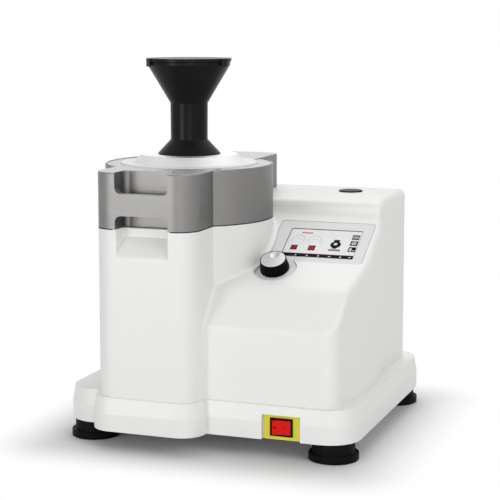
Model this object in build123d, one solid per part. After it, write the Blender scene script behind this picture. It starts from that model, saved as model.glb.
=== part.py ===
# Bench-top rotor mill: a white moulded housing with the grinding column on its left and a
# sloping control console on its right, a hinged aluminium lid with a feed funnel, and inside
# the rotor, sieve ring, collecting pan and motor.
# Frame: millimetres, X right as seen from the front, Y to the back, Z up. The origin is on the
# ground at the middle of the outline.

from build123d import *
from math import cos, hypot, pi, radians, sin, tan
import os

# Shared fits
overrun = 5.0
seat_gap = 0.3
running_gap = 0.05
moving_gap = 0.8

# Rubber feet
foot_height = 27.0
foot_disc_radius = 34.5
foot_disc_height = 10.0
foot_neck_radius = 29.3
foot_edge_round = 2.0
foot_inset = 35.7
foot_bolt_radius = 4.0
foot_bolt_head_radius = 6.5
foot_bolt_head_height = 5.0
foot_recess_radius = 9.0
foot_recess_depth = 9.5
foot_nut_radius = 7.5
foot_nut_height = 6.5

# Plinth tray
plinth_side_ledge = 22.8
plinth_front_ledge = 9.9
plinth_back_ledge = 29.9
plinth_corner = 45.0
plinth_side_height = 42.8
plinth_rise = 3.7
plinth_margin = 22.0
plinth_wall = 4.0
skirt_margin = 8.0
skirt_corner = 33.5
tray_opening_air = 3.0
base_plate_thickness = 3.0
tray_boss_radius = 6.0
boss_bite = 1.5
tray_screw_radius = 2.0
tray_screw_head_radius = 3.8
tray_screw_head_height = 1.6
tray_screw_length = 16.0

# Grinding column
axis_x = -76.5
axis_y = -36.1
column_radius = 121.5
column_top = 307.6
lobe_half_width = 74.4
lobe_reach = 173.2
lobe_corner = 30.0
shell_wall = 4.0

# Rear body, deck and sloping console
panel_side_margin = 0.6
body_back = 187.4
body_corner = 10.0
deck_z = 333.2
console_side_swell = 9.4
console_front = -171.7
console_corner_inset = 2.6
console_corner = 26.0
console_side_depth = 141.7
console_shoulder_swell = 6.4
console_shoulder_depth = 79.7
console_cheek_inset = 0.1
console_cheek_depth = 29.7
console_neck_swell = 5.9
console_neck_lead = 11.3
body_neck_lag = 24.7
brow_start_y = 88.0
brow_drop = 6.5
brow_round = 120.0
edge_round = 10.0
front_edge_z = 175.4
lower_facet_run = 42.7
lower_facet_rise = 49.6
middle_slope_end_y = -57.7
middle_slope_angle = 22.5
display_angle = 30.0
riser_y = 37.3
riser_round = 12.0
deck_round = 11.0
facet_bend_round = 30.0
display_bend_round = 60.0

# Control panel on the display slope, in X and in distance up the slope
panel_depth = 1.0
panel_left_air = 3.0
panel_right_air = 16.0
panel_low = -3.5
panel_high = 90.0
panel_corner = 6.0
panel_column_gap = 7.0
dish_radius = 30.6
dish_inset = 23.2
dish_v = -26.3
foil_thickness = 0.7
screen_inset = 20.0
screen_low = 8.0
screen_width = 106.0
screen_height = 63.7
screen_corner = 1.5
screen_lip = 2.0
glass_thickness = 0.9
module_margin = 4.0
module_depth = 9.0

# Control knob
knob_offset = 2.2
knob_rise = 4.3
knob_base_radius = 20.9
knob_top_radius = 18.6
knob_height = 16.5
knob_cap_radius = 17.4
knob_cap_thickness = 2.0
knob_stand_off = 0.8
knob_grips = 24
knob_grip_radius = 1.0
dimple_radius = 7.0
dimple_offset_share = 0.55
dimple_depth = 1.0
encoder_shaft_radius = 3.0
encoder_bush_radius = 5.0
encoder_body_size = 16.0
encoder_body_depth = 9.0

# Chamber under the lid
tub_air = 10.5
tub_wall = 10.0
tub_floor_z = 236.0
tub_floor_thickness = 6.0
tub_rim_z = 306.6
tub_skirt_radius = 84.0
tub_skirt_wall = 8.0
pan_gap = 0.6
pan_wall = 2.5
pan_height = 62.0
pan_seat_height = 10.0
pan_hub_radius = 42.0
sieve_radius = 52.7
sieve_wall = 1.5
sieve_height = 64.0
sieve_slots = 36
sieve_slot_width = 3.2
sieve_rows = 3
sieve_land = 5.0
rotor_air = 1.2
rotor_teeth = 12
rotor_tooth_depth = 11.0
rotor_tooth_width = 10.0
rotor_tooth_back_width = 5.0
rotor_disc_thickness = 6.0
rotor_height = 58.0
rotor_hub_radius = 17.0
rotor_lift = 3.0
rotor_cap_radius = 15.0
rotor_cap_height = 9.0

# Shaft, bearings and motor
shaft_radius = 10.0
bearing_radius = 21.0
bearing_height = 12.0
boss_wall = 5.0
motor_radius = 72.0
motor_wall = 6.0
motor_top = 212.0
motor_height = 128.0
motor_shield = 8.0
motor_flange = 6.0
motor_rib_count = 18
motor_rib_depth = 5.0
motor_rib_width = 3.0
stator_bore_radius = 42.0
stator_height = 80.0
armature_gap = 1.0
fan_radius = 58.0
fan_thickness = 3.0
fan_blades = 9
fan_blade_height = 13.0
fan_blade_length = 30.0
fan_drop = 4.0
post_radius = 9.0
post_count = 4
post_bearing = 45.0
buffer_radius = 13.0
buffer_height = 12.0

# Hinged lid
lid_top = 385.2
lid_gap = 0.6
lid_bore_air = 0.4
lid_plate_thickness = 13.6
insert_land = 3.2
crescent_depth = 1.0
crescent_rim = 2.5
handle_half_width = 39.0
handle_depth_share = 0.6577
handle_bar_thickness = 13.0
handle_bar_low = 326.2
handle_bar_high = 356.1
handle_corner = 9.0
scoop_half_width = 37.4
scoop_depth_share = 0.40619
scoop_corner = 8.0
scoop_back_drop = 12.0
scoop_front_drop = 38.0
scoop_edge_round = 2.5
scoop_lip_round = 12.0
lug_half_width = 74.4
lug_reach = 190.4
lug_corner = 20.0
lid_edge_round = 2.0

# Lid lining and feed parts
insert_proud = 0.9
insert_flange_thickness = 7.0
cone_base_radius = 80.7
cone_top_radius = 69.5
cone_height = 11.5
cone_bore_radius = 40.0
cover_thickness = 4.0
cover_lift = 3.8
cover_hole_radius = 24.0
seal_inset = 2.5
seal_width = 6.0
spacer_radius = 6.0
spacer_circle_radius = 72.0
spacer_count = 3
spacer_bearing = 90.0
feed_tube_radius = 30.0
feed_tube_wall = 3.0
lid_screw_radius = 2.5
lid_screw_head_radius = 4.5
lid_screw_head_height = 4.0
lid_screw_length = 14.0
lid_screw_count = 6
lid_screw_bearing = 30.0

# Hinge
hinge_pin_lift = 18.0
hinge_pin_radius = 6.0
hinge_pin_length = 124.0
hinge_ear_thickness = 10.0
hinge_ear_radius = 14.0
hinge_ear_spacing = 90.0
hinge_flange_length = 44.0
hinge_flange_width = 34.0
hinge_flange_thickness = 8.0

# Lid lock behind the handle
striker_thickness = 4.0
striker_width = 12.0
striker_drop = 26.0
striker_hole_radius = 4.8
bolt_radius = 4.0
bolt_length = 34.0
bolt_travel = 12.0
bolt_clearance = 2.0
lock_length = 50.0
lock_air = 2.1
lock_height = 34.0
lock_slot_length = 19.0
lock_slot_width = 8.0

# Feed funnel and its lid
funnel_wall = 3.2
funnel_tube_radius = 27.0
funnel_foot_radius = 45.1
funnel_foot_thickness = 1.2
funnel_flare_height = 21.0
funnel_tube_top = 471.3
funnel_mouth_radius = 59.6
funnel_mouth_z = 530.6
funnel_rim_height = 4.5
funnel_spigot_radius = 27.0
funnel_spigot_depth = 46.0
funnel_lid_radius = 61.4
funnel_lid_thickness = 4.5
funnel_lid_plug_depth = 4.0
funnel_lid_plug_wall = 2.4
funnel_lid_dimple_radius = 6.0
funnel_lid_dimple_depth = 1.0
funnel_tab_count = 3
funnel_tab_bearing = -15.0
funnel_tab_width = 12.0
funnel_tab_height = 7.0
funnel_tab_thickness = 2.2

# Power switch in the plinth
notch_air = 27.4
notch_width = 55.0
notch_height = 34.5
notch_depth = 8.0
switch_plate_width = 51.0
switch_plate_height = 33.0
switch_plate_thickness = 1.5
bezel_width = 32.0
bezel_height = 25.0
bezel_thickness = 2.0
bezel_inset = 10.9
bezel_lift = 5.0
switch_body_width = 30.0
switch_body_height = 23.0
switch_body_depth = 20.0
rocker_width = 25.6
rocker_height = 19.4
rocker_gap = 0.9
rocker_end_lift = 5.2
rocker_valley_lift = 2.4
rocker_depth = 6.0
rocker_tilt = 8.0

# Deck cap over the stand-rod socket
cap_side_inset = 69.1
cap_back_inset = 66.4
cap_radius = 17.8
cap_thickness = 2.0
cap_stem_radius = 5.0
cap_stem_length = 12.0
socket_radius = 14.0
socket_depth = 34.0
socket_wall = 3.0

# Rear service panel and mains inlet
rear_panel_inset = 30.6
rear_panel_width = 200.0
rear_panel_low = 95.0
rear_panel_height = 130.0
rear_panel_thickness = 1.5
rear_opening_margin = 10.0
vent_count = 9
vent_length = 90.0
vent_width = 4.0
vent_pitch = 9.0
rear_screw_radius = 2.0
rear_screw_head_radius = 3.6
rear_screw_head_height = 2.0
inlet_inset = 38.0
inlet_z = 125.0
inlet_flange_width = 50.0
inlet_flange_height = 26.0
inlet_flange_thickness = 2.5
inlet_body_width = 30.0
inlet_body_height = 22.0
inlet_body_depth = 22.0
inlet_hole_width = 24.0
inlet_hole_height = 16.0
inlet_hole_depth = 17.0
inlet_pin_width = 2.0
inlet_pin_height = 4.0
inlet_pin_length = 13.0
inlet_pin_spacing = 14.0
inlet_earth_rise = 3.0

# Drive electronics
drive_side_air = 24.6
drive_front_air = 61.7
drive_width = 100.0
drive_length = 140.0
drive_height = 62.0
drive_fins = 12
drive_fin_height = 20.0
drive_fin_thickness = 2.0

# Places across and in depth worked out from the sizes above
panel_left = axis_x + column_radius + panel_left_air
screen_left = panel_left + screen_inset
panel_right = screen_left + screen_width + panel_right_air
dish_x = panel_left + dish_inset
knob_x = dish_x - knob_offset
knob_v = dish_v + knob_rise
body_half_width = panel_right + panel_side_margin
console_side = body_half_width + console_side_swell
console_corner_x = body_half_width - console_corner_inset
plinth_half_width = body_half_width + plinth_side_ledge
plinth_front = console_front - plinth_front_ledge
plinth_back = body_back + plinth_back_ledge
notch_left = plinth_half_width - plinth_corner - notch_air - notch_width
bezel_left = notch_left + bezel_inset
cap_x = body_half_width - cap_side_inset
cap_y = body_back - cap_back_inset
rear_panel_x = body_half_width - rear_panel_inset - rear_panel_width / 2
inlet_x = rear_panel_x + rear_panel_width / 2 - inlet_inset
drive_x = body_half_width - drive_side_air - drive_width / 2
drive_y = console_front + drive_front_air + drive_length / 2

# Radii and depths worked out from the sizes above
tub_radius = column_radius - shell_wall - tub_air
tray_opening_radius = tub_radius + tray_opening_air
rotor_radius = sieve_radius - sieve_wall - rotor_air
post_circle_radius = tub_radius - post_radius
lid_bore_radius = tub_radius + lid_bore_air
insert_flange_radius = lid_bore_radius - moving_gap
cover_radius = lid_bore_radius - moving_gap
seal_radius = tub_radius - seal_inset
lid_screw_circle = insert_flange_radius - lid_screw_head_radius - 2 * running_gap
insert_radius = lid_screw_circle - insert_land
handle_depth = handle_depth_share * (lobe_reach - column_radius)
scoop_depth = scoop_depth_share * (lobe_reach - column_radius)
lock_depth = lobe_reach - handle_depth - shell_wall - tub_radius - 2 * lock_air
striker_y = axis_y - tub_radius - lock_air - lock_depth / 2

# Heights worked out from the sizes above
plinth_crease_z = foot_height + plinth_side_height
plinth_top_z = plinth_crease_z + plinth_rise
bezel_low = foot_height + bezel_lift
base_plate_top = foot_height + base_plate_thickness
lid_bottom = column_top + lid_gap
lug_bottom = deck_z + moving_gap
hinge_y = axis_y + lug_reach - (hinge_pin_lift - moving_gap)
hinge_z = deck_z + hinge_pin_lift
tub_floor_top = tub_floor_z + tub_floor_thickness
pan_floor_z = tub_floor_top + seat_gap
pan_floor_top = pan_floor_z + pan_wall
rotor_bottom = pan_floor_top + rotor_lift
insert_top = lid_top + insert_proud
cone_top = insert_top + cone_height
funnel_foot_z = cone_top + seat_gap
cover_bottom = lid_bottom + cover_lift
cover_top = cover_bottom + cover_thickness
insert_flange_top = lid_top - lid_plate_thickness
insert_bottom = insert_flange_top - insert_flange_thickness
motor_bottom = motor_top - motor_height
notch_back = plinth_front + notch_depth
slope = radians(display_angle)
facet_y = console_front + lower_facet_run
facet_z = front_edge_z + lower_facet_rise
display_foot_z = facet_z + (middle_slope_end_y - facet_y) * tan(radians(middle_slope_angle))


# Shared shapes
def upright(radius, bottom, top, x=0.0, y=0.0):
    """A cylinder standing between two heights."""
    return Pos(x, y, bottom) * Cylinder(radius, top - bottom, align=(Align.CENTER, Align.CENTER, Align.MIN))


def tube(outer, inner, bottom, top, x=0.0, y=0.0):
    """A ring standing between two heights."""
    hole = upright(inner, bottom - overrun, top + overrun, x, y)
    return upright(outer, bottom, top, x, y) - hole


def block(x0, x1, y0, y1, z0, z1):
    """A box between two corners."""
    size = Box(x1 - x0, y1 - y0, z1 - z0, align=(Align.MIN, Align.MIN, Align.MIN))
    return Pos(x0, y0, z0) * size


def raised(plan, bottom, top):
    """A plan outline carried up between two heights."""
    return Pos(0, 0, bottom) * extrude(plan, top - bottom)


def turned(points):
    """A profile of radius and height turned about the vertical axis of the grinding chamber."""
    profile = make_face(Polyline(*[(r, 0, z) for r, z in points], close=True))
    return Pos(axis_x, axis_y, 0) * revolve(profile, Axis.Z)


def around(count, radius, start=0.0):
    """Places on a circle about the grinding axis, each with its bearing in degrees."""
    step = 360 / count
    bearings = [start + step * index for index in range(count)]
    return [(axis_x + radius * cos(radians(b)), axis_y + radius * sin(radians(b)), b) for b in bearings]


def display_place(x, v, height=0.0):
    """A point on the display slope: across, up the slope from its foot, and out along its normal."""
    y = middle_slope_end_y + v * cos(slope) - height * sin(slope)
    z = display_foot_z + v * sin(slope) + height * cos(slope)
    return (x, y, z)


def display_frame(x=0.0, v=0.0, height=0.0):
    """A location whose Z axis is the display slope's outward normal and whose Y runs up the slope."""
    return Pos(*display_place(x, v, height)) * Rot(display_angle, 0, 0)


# Plan outlines
def lobe_plan(grow=0.0):
    """The column's front lobe, from the axis forwards."""
    reach = lobe_reach + grow
    lobe = Pos(0, -reach / 2) * Rectangle(2 * (lobe_half_width + grow), reach)
    front = lobe.vertices().sort_by(Axis.Y)[:2]
    return Pos(axis_x, axis_y) * fillet(front, lobe_corner + grow)


def column_plan(grow=0.0):
    """The round column with its front lobe."""
    return Pos(axis_x, axis_y) * Circle(column_radius + grow) + lobe_plan(grow)


def console_plan(inset=0.0):
    """The rear body, swelling out on the right into the console."""
    right = body_half_width - inset
    front = console_front + inset
    corner = (console_corner_x - inset, front)
    neck_y = riser_y + body_neck_lag
    swell = [
        (right, neck_y),
        (right + console_neck_swell, riser_y - console_neck_lead),
        (right + console_side_swell, console_front + console_side_depth),
        (right + console_shoulder_swell, console_front + console_shoulder_depth),
        (right - console_cheek_inset, console_front + console_cheek_depth),
    ]
    lean = (corner[0] - swell[-1][0], corner[1] - swell[-1][1])
    side = Spline(*swell, tangents=[(0, -1), lean])
    left = -right
    back = body_back - inset
    rear = Polyline((axis_x, axis_y), (left, axis_y), (left, back), (right, back), (right, neck_y))
    nose = Polyline(swell[-1], corner, (axis_x, front), (axis_x, axis_y))
    outline = make_face([rear, side, nose])
    for place, radius in (((left, back), body_corner - inset), ((right, back), body_corner - inset),
                          (corner, console_corner - inset)):
        vertex = outline.vertices().sort_by_distance(Vector(*place))[0]
        outline = fillet(vertex, radius)
    return outline


def moved_in(points, inset):
    """A closed outline, given clockwise, with every side moved inwards."""
    lines = []
    for start, end in zip(points, points[1:] + points[:1]):
        run = (end[0] - start[0], end[1] - start[1])
        size = hypot(*run)
        inward = (run[1] / size, -run[0] / size)
        lines.append(((start[0] + inset * inward[0], start[1] + inset * inward[1]), run))
    corners = []
    for before, after in zip(lines[-1:] + lines[:-1], lines):
        (px, py), (ax, ay) = before
        (qx, qy), (bx, by) = after
        share = ((qx - px) * by - (qy - py) * bx) / (ax * by - ay * bx)
        corners.append((px + share * ax, py + share * ay))
    return corners


def side_profile(inset=0.0):
    """The console seen from the side: front wall, three slopes, riser, brow and deck."""
    riser_foot_z = display_foot_z + (riser_y - middle_slope_end_y) * tan(slope)
    outer = [
        (console_front, plinth_top_z - overrun),
        (console_front, front_edge_z),
        (facet_y, facet_z),
        (middle_slope_end_y, display_foot_z),
        (riser_y, riser_foot_z),
        (riser_y, deck_z - brow_drop),
        (brow_start_y, deck_z),
        (body_back + 2 * overrun, deck_z),
        (body_back + 2 * overrun, plinth_top_z - overrun),
    ]
    points = moved_in(outer, inset) if inset else outer
    outline = make_face(Polyline(*[(0, y, z) for y, z in points], close=True))
    rounds = {2: facet_bend_round - inset, 3: display_bend_round + inset, 4: riser_round + inset,
              5: deck_round - inset, 6: brow_round - inset}
    for index, radius in rounds.items():
        place = (0, *points[index])
        vertex = outline.vertices().sort_by_distance(Vector(*place))[0]
        outline = fillet(vertex, radius)
    return outline


def handle_plan():
    """The upright recess behind the handle bar, open to the front."""
    width = 2 * handle_half_width
    back = axis_y - lobe_reach + handle_depth
    front = axis_y - lobe_reach - overrun
    recess = Pos(axis_x, (back + front) / 2) * Rectangle(width, back - front)
    rear = recess.vertices().sort_by(Axis.Y)[-2:]
    return fillet(rear, handle_corner)


def soft_mouth(opening, wall, corners, radius):
    """A flat opening in a flat wall, with the wall's corners there rounded off."""
    left = wall - opening
    nearest = [left.vertices().sort_by_distance(Vector(*place))[0] for place in corners]
    left = fillet(nearest, radius)
    return opening + (wall - left)


def scoop_plan(grow=0.0):
    """The finger scoop from above: round rear corners and soft front edges."""
    front = axis_y - lobe_reach
    half = scoop_half_width + grow
    depth = scoop_depth + grow
    reach = half + 2 * scoop_edge_round
    opening = Pos(axis_x, front + (depth - overrun) / 2) * Rectangle(2 * half, depth + overrun)
    rear = opening.vertices().sort_by(Axis.Y)[-2:]
    opening = fillet(rear, scoop_corner + grow)
    wall = Pos(axis_x, front + depth) * Rectangle(2 * reach, 2 * depth)
    corners = [(axis_x - half, front), (axis_x + half, front)]
    return soft_mouth(opening, wall, corners, scoop_edge_round)


def scoop_side(grow=0.0):
    """The finger scoop from the side: a floor that slopes out to the front over a round lip."""
    front = axis_y - lobe_reach
    back = front + scoop_depth + grow
    low = column_top - scoop_front_drop - grow
    points = [
        (front - overrun, column_top + overrun),
        (back, column_top + overrun),
        (back, column_top - scoop_back_drop - grow),
        (front, low),
        (front - overrun, low),
    ]
    opening = make_face(Polyline(*points, close=True))
    wall = Pos(front + scoop_depth, low) * Rectangle(2 * scoop_depth, 4 * scoop_lip_round)
    return soft_mouth(opening, wall, [(front, low)], scoop_lip_round)


def scoop(grow=0.0):
    """The finger scoop in the column under the handle."""
    side = Plane.YZ.offset(axis_x) * scoop_side(grow)
    wedge = extrude(side, scoop_half_width + grow + 2 * scoop_edge_round, both=True)
    low = column_top - scoop_front_drop - grow - 2 * scoop_lip_round
    return wedge & raised(scoop_plan(grow), low, column_top + overrun)


# Housing
def console_solid(inset=0.0):
    """The rear body and console as one solid; outside, its upper edges are broadly rounded."""
    upper = raised(console_plan(inset), plinth_top_z - inset, deck_z + overrun)
    body = upper & extrude(side_profile(inset), console_side + overrun, both=True)
    if inset:
        return body
    along = body.edges().filter_by(Axis.X)
    front = along.sort_by_distance(Vector(0, console_front, front_edge_z))[0]
    return fillet(front, edge_round)


def panel_outline(shrink=0.0):
    """The control panel: a rounded rectangle joined to a round dish for the knob."""
    width = panel_right - panel_left - 2 * shrink
    height = panel_high - panel_low - 2 * shrink
    field = RectangleRounded(width, height, panel_corner - shrink)
    field = Pos((panel_left + panel_right) / 2, (panel_low + panel_high) / 2) * field
    return field + Pos(dish_x, dish_v) * Circle(dish_radius - shrink)


def panel_recess(grow=0.0):
    """The space over the sunk panel, kept off the column."""
    space = display_frame(0, 0, -panel_depth - grow) * extrude(panel_outline(-grow), console_side)
    return space - upright(column_radius + panel_column_gap - grow, 0, deck_z + overrun, axis_x, axis_y)


def screw_bosses():
    """Places of the posts that hold the housing down on the plinth, each biting into a wall."""
    reach = shell_wall + tray_boss_radius - boss_bite
    inner_x = body_half_width - reach
    back = body_back - reach
    front = console_front + reach
    lobe_side = axis_x - lobe_half_width + reach
    rear = [(-inner_x, back - body_corner), (inner_x, back - body_corner)]
    console = [(console_corner_x - console_corner, front), (axis_x + lobe_half_width + console_corner, front)]
    return rear + console + [(lobe_side, axis_y - lobe_reach + 2 * lobe_corner)]


def make_housing_shell():
    """One white moulding: column, lobe, rear body and console with a wall all round."""
    column = raised(column_plan(), plinth_top_z, column_top)
    outer = console_solid() + column
    lid_room = upright(column_radius + moving_gap + lid_gap, column_top, deck_z + overrun, axis_x, axis_y)
    recess = panel_recess()
    outer = outer - lid_room - scoop() - recess
    inside = console_solid(shell_wall)
    chamber = raised(column_plan(-shell_wall), plinth_top_z - overrun, column_top - shell_wall)
    keep_wall = upright(column_radius + moving_gap + lid_gap + shell_wall, column_top - shell_wall,
                        deck_z + overrun, axis_x, axis_y)
    cavity = (inside - keep_wall) + chamber - scoop(shell_wall) - panel_recess(shell_wall)
    shell = outer - cavity
    mouth_low = column_top - shell_wall - overrun
    shell -= upright(tub_radius + seat_gap, mouth_low, column_top + overrun, axis_x, axis_y)
    shell -= striker_slot()
    for side in (-1, 1):
        shell -= hinge_slot(side)
    under_deck = deck_z - shell_wall - overrun
    shell -= upright(cap_stem_radius + seat_gap, under_deck, deck_z + overrun, cap_x, cap_y)
    window = display_frame(screen_left + screen_width / 2, screen_low + screen_height / 2)
    glass_hole = extrude(Rectangle(screen_width - 2 * screen_lip, screen_height - 2 * screen_lip),
                         shell_wall + overrun, both=True)
    shell -= window * glass_hole
    bush = Cylinder(encoder_bush_radius + seat_gap, 4 * (shell_wall + overrun))
    shell -= display_frame(knob_x, knob_v) * bush
    shell -= rear_opening()
    for x, y in screw_bosses():
        boss = upright(tray_boss_radius, plinth_top_z, plinth_top_z + tray_screw_length, x, y)
        pilot = upright(tray_screw_radius + running_gap, plinth_top_z - overrun,
                        plinth_top_z + tray_screw_length - overrun, x, y)
        shell = shell + boss - pilot
    return shell


def striker_slot():
    """The slot in the column's top through which the lid's striker drops."""
    half = lock_slot_width / 2
    front = striker_y - striker_width / 2 - (lock_slot_length - striker_width - seat_gap)
    return block(axis_x - half, axis_x + half, front, front + lock_slot_length,
                 column_top - shell_wall - overrun, column_top + overrun)


def hinge_slot(side):
    """The slot in the deck through which one hinge ear stands."""
    x = axis_x + side * hinge_ear_spacing / 2
    half = hinge_ear_thickness / 2 + seat_gap
    reach = hinge_ear_radius + seat_gap
    low = deck_z - shell_wall - overrun
    return block(x - half, x + half, hinge_y - reach, hinge_y + reach, low, deck_z + overrun)


# Plinth
def plinth_plan(inset=0.0):
    """The plinth outline with the skirt round the column's lobe."""
    width = 2 * (plinth_half_width - inset)
    depth = plinth_back - plinth_front - 2 * inset
    middle = (plinth_back + plinth_front) / 2
    field = Pos(0, middle) * RectangleRounded(width, depth, plinth_corner - inset)
    half = lobe_half_width + skirt_margin - inset
    front = axis_y - lobe_reach - skirt_margin + inset
    skirt = Pos(axis_x, (front + axis_y) / 2) * Rectangle(2 * half, axis_y - front)
    corners = skirt.vertices().sort_by(Axis.Y)[:2]
    return field + fillet(corners, skirt_corner - inset)


def notch_block(grow=0.0):
    """The switch notch, open to the front and below."""
    return block(notch_left - grow, notch_left + notch_width + grow, plinth_front - overrun,
                 notch_back + grow, foot_height - overrun, foot_height + notch_height + grow)


def tray_bosses():
    """Places of the screws between base plate and tray."""
    x = plinth_half_width - plinth_corner / 2 - plinth_wall
    front = plinth_front + 2 * foot_inset + tray_boss_radius
    back = plinth_back - 2 * foot_inset - tray_boss_radius
    return [(-x, front), (x, front), (-x, back), (x, back), (0, plinth_back - plinth_corner / 2)]


def make_base_tray():
    """The white plinth, open below, with a gently rising top."""
    body = raised(plinth_plan(), foot_height, plinth_top_z)
    crown = body.faces().sort_by(Axis.Z)[-1].edges()
    body = chamfer(crown, plinth_rise, plinth_margin, reference=body.faces().sort_by(Axis.Z)[-1])
    hollow = raised(plinth_plan(plinth_wall), foot_height - overrun, plinth_top_z - plinth_wall)
    body -= hollow - notch_block(plinth_wall)
    body -= notch_block()
    under_top = plinth_crease_z - 2 * overrun
    body -= upright(tray_opening_radius, under_top, plinth_top_z + overrun, axis_x, axis_y)
    body -= switch_hole()
    for x, y in tray_bosses():
        boss = upright(tray_boss_radius, base_plate_top, plinth_top_z - plinth_wall, x, y)
        pilot = upright(tray_screw_radius + running_gap, base_plate_top - overrun,
                        foot_height + tray_screw_length + overrun, x, y)
        body = body + boss - pilot
    for x, y in screw_bosses():
        body -= upright(tray_screw_radius + seat_gap, under_top, plinth_top_z + overrun, x, y)
    return body


def foot_places():
    """The four feet, by name."""
    x = plinth_half_width - foot_inset
    front = plinth_front + foot_inset
    back = plinth_back - foot_inset
    return {"front_left_foot": (-x, front), "front_right_foot": (x, front),
            "rear_left_foot": (-x, back), "rear_right_foot": (x, back)}


def make_base_plate():
    """The steel floor inside the tray that carries feet, posts and screws."""
    plate = raised(plinth_plan(plinth_wall + seat_gap), foot_height, base_plate_top)
    plate -= notch_block(plinth_wall + seat_gap)
    for x, y in foot_places().values():
        plate -= upright(foot_bolt_radius + seat_gap, foot_height - overrun, base_plate_top + overrun, x, y)
    for x, y in tray_bosses():
        plate -= upright(tray_screw_radius + seat_gap, foot_height - overrun, base_plate_top + overrun, x, y)
        plate -= upright(tray_screw_head_radius + seat_gap, foot_height - overrun,
                         foot_height + tray_screw_head_height, x, y)
    return plate


def make_foot(x, y):
    """A rubber foot: a broad disc with a stout neck and a sunk bolt well."""
    disc = upright(foot_disc_radius, 0, foot_disc_height, x, y)
    disc = fillet(disc.edges().group_by(Axis.Z)[-1], foot_edge_round)
    neck = upright(foot_neck_radius, foot_disc_height, foot_height, x, y)
    well = upright(foot_recess_radius, -overrun, foot_recess_depth, x, y)
    bore = upright(foot_bolt_radius + seat_gap, -overrun, foot_height + overrun, x, y)
    return disc + neck - well - bore


def make_foot_bolts():
    """The four bolts that hold the feet."""
    bolts = []
    for x, y in foot_places().values():
        low = foot_recess_depth - foot_bolt_head_height
        head = upright(foot_bolt_head_radius, low, foot_recess_depth, x, y)
        tip = base_plate_top + foot_nut_height + seat_gap
        shank = upright(foot_bolt_radius, foot_recess_depth, tip, x, y)
        bolts.append(head + shank)
    return bolts


def make_foot_nuts():
    """The four hexagon nuts on the base plate."""
    nuts = []
    for x, y in foot_places().values():
        nut = Pos(x, y, base_plate_top) * extrude(RegularPolygon(foot_nut_radius, 6), foot_nut_height)
        nuts.append(nut - upright(foot_bolt_radius + running_gap, 0, deck_z, x, y))
    return nuts


def make_tray_screws():
    """The screws that hold the base plate up in the tray."""
    screws = []
    for x, y in tray_bosses():
        head_top = foot_height + tray_screw_head_height
        head = upright(tray_screw_head_radius, foot_height, head_top, x, y)
        shank = upright(tray_screw_radius, head_top, foot_height + tray_screw_length, x, y)
        screws.append(head + shank)
    return screws


def make_housing_screws():
    """The screws that hold the housing down on the tray."""
    screws = []
    for x, y in screw_bosses():
        under = plinth_top_z - plinth_wall
        head = upright(tray_screw_head_radius, under - tray_screw_head_height, under, x, y)
        shank = upright(tray_screw_radius, under, plinth_top_z + tray_screw_length - 2 * overrun, x, y)
        screws.append(head + shank)
    return screws


# Power switch
def switch_middle():
    """The middle of the switch across and up."""
    return (bezel_left + bezel_width / 2, bezel_low + bezel_height / 2)


def framed(width, height, y0, y1, x, z):
    """A box round a middle in X and Z, between two depths."""
    return block(x - width / 2, x + width / 2, y0, y1, z - height / 2, z + height / 2)


def switch_hole():
    """The hole for the switch body through the notch's back wall."""
    x, z = switch_middle()
    return framed(switch_body_width + 2 * seat_gap, switch_body_height + 2 * seat_gap,
                  notch_back - overrun, notch_back + plinth_wall + overrun, x, z)


def make_switch_plate():
    """The yellow backing plate of the power switch."""
    x = notch_left + notch_width / 2
    z = foot_height + switch_plate_height / 2
    face = notch_back - switch_plate_thickness
    return framed(switch_plate_width, switch_plate_height, face, notch_back, x, z) - switch_hole()


def make_switch_frame():
    """The black switch bezel with its body behind the plate."""
    x, z = switch_middle()
    face = notch_back - switch_plate_thickness
    bezel = framed(bezel_width, bezel_height, face - bezel_thickness, face, x, z)
    body = framed(switch_body_width, switch_body_height, face, face + switch_body_depth, x, z)
    well = framed(rocker_width + 2 * rocker_gap, rocker_height + 2 * rocker_gap,
                  face - bezel_thickness - overrun, face + switch_body_depth - bezel_thickness, x, z)
    pin = Cylinder(bezel_thickness / 2, switch_body_height - bezel_thickness / 2)
    pin = Pos(x, rocker_pivot_y(), z) * pin
    return bezel + body - well + pin


def rocker_pivot_y():
    """The depth of the rocker's upright pivot."""
    return notch_back - switch_plate_thickness + rocker_depth / 2


def make_rocker():
    """The red rocker, with its right end pressed in."""
    x, z = switch_middle()
    half = rocker_width / 2
    points = [(-half, -rocker_depth / 2 - rocker_end_lift), (0, -rocker_depth / 2 - rocker_valley_lift),
              (half, -rocker_depth / 2 - rocker_end_lift), (half - rocker_gap, 0),
              (half / 2, rocker_depth / 2), (-half / 2, rocker_depth / 2), (-half + rocker_gap, 0)]
    plan = make_face(Polyline(*points, close=True))
    body = Pos(0, 0, -rocker_height / 2) * extrude(plan, rocker_height)
    body -= Cylinder(bezel_thickness / 2 + running_gap, rocker_height + overrun)
    return Pos(x, rocker_pivot_y(), z) * Rot(0, 0, rocker_tilt) * body


# Rear panel and inlet
def rear_opening():
    """The hole in the housing's back behind the service panel."""
    half = rear_panel_width / 2 - rear_opening_margin
    low = rear_panel_low + rear_opening_margin
    high = rear_panel_low + rear_panel_height - rear_opening_margin
    return block(rear_panel_x - half, rear_panel_x + half,
                 body_back - shell_wall - overrun, body_back + overrun, low, high)


def rear_screw_places():
    """The four corners of the service panel."""
    inset = rear_opening_margin / 2
    half = rear_panel_width / 2 - inset
    low = rear_panel_low + inset
    high = rear_panel_low + rear_panel_height - inset
    return [(rear_panel_x + side * half, z) for side in (-1, 1) for z in (low, high)]


def back_rod(radius, y0, y1, x, z):
    """A round bar along Y."""
    return Pos(x, (y0 + y1) / 2, z) * Rot(90, 0, 0) * Cylinder(radius, y1 - y0)


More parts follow.
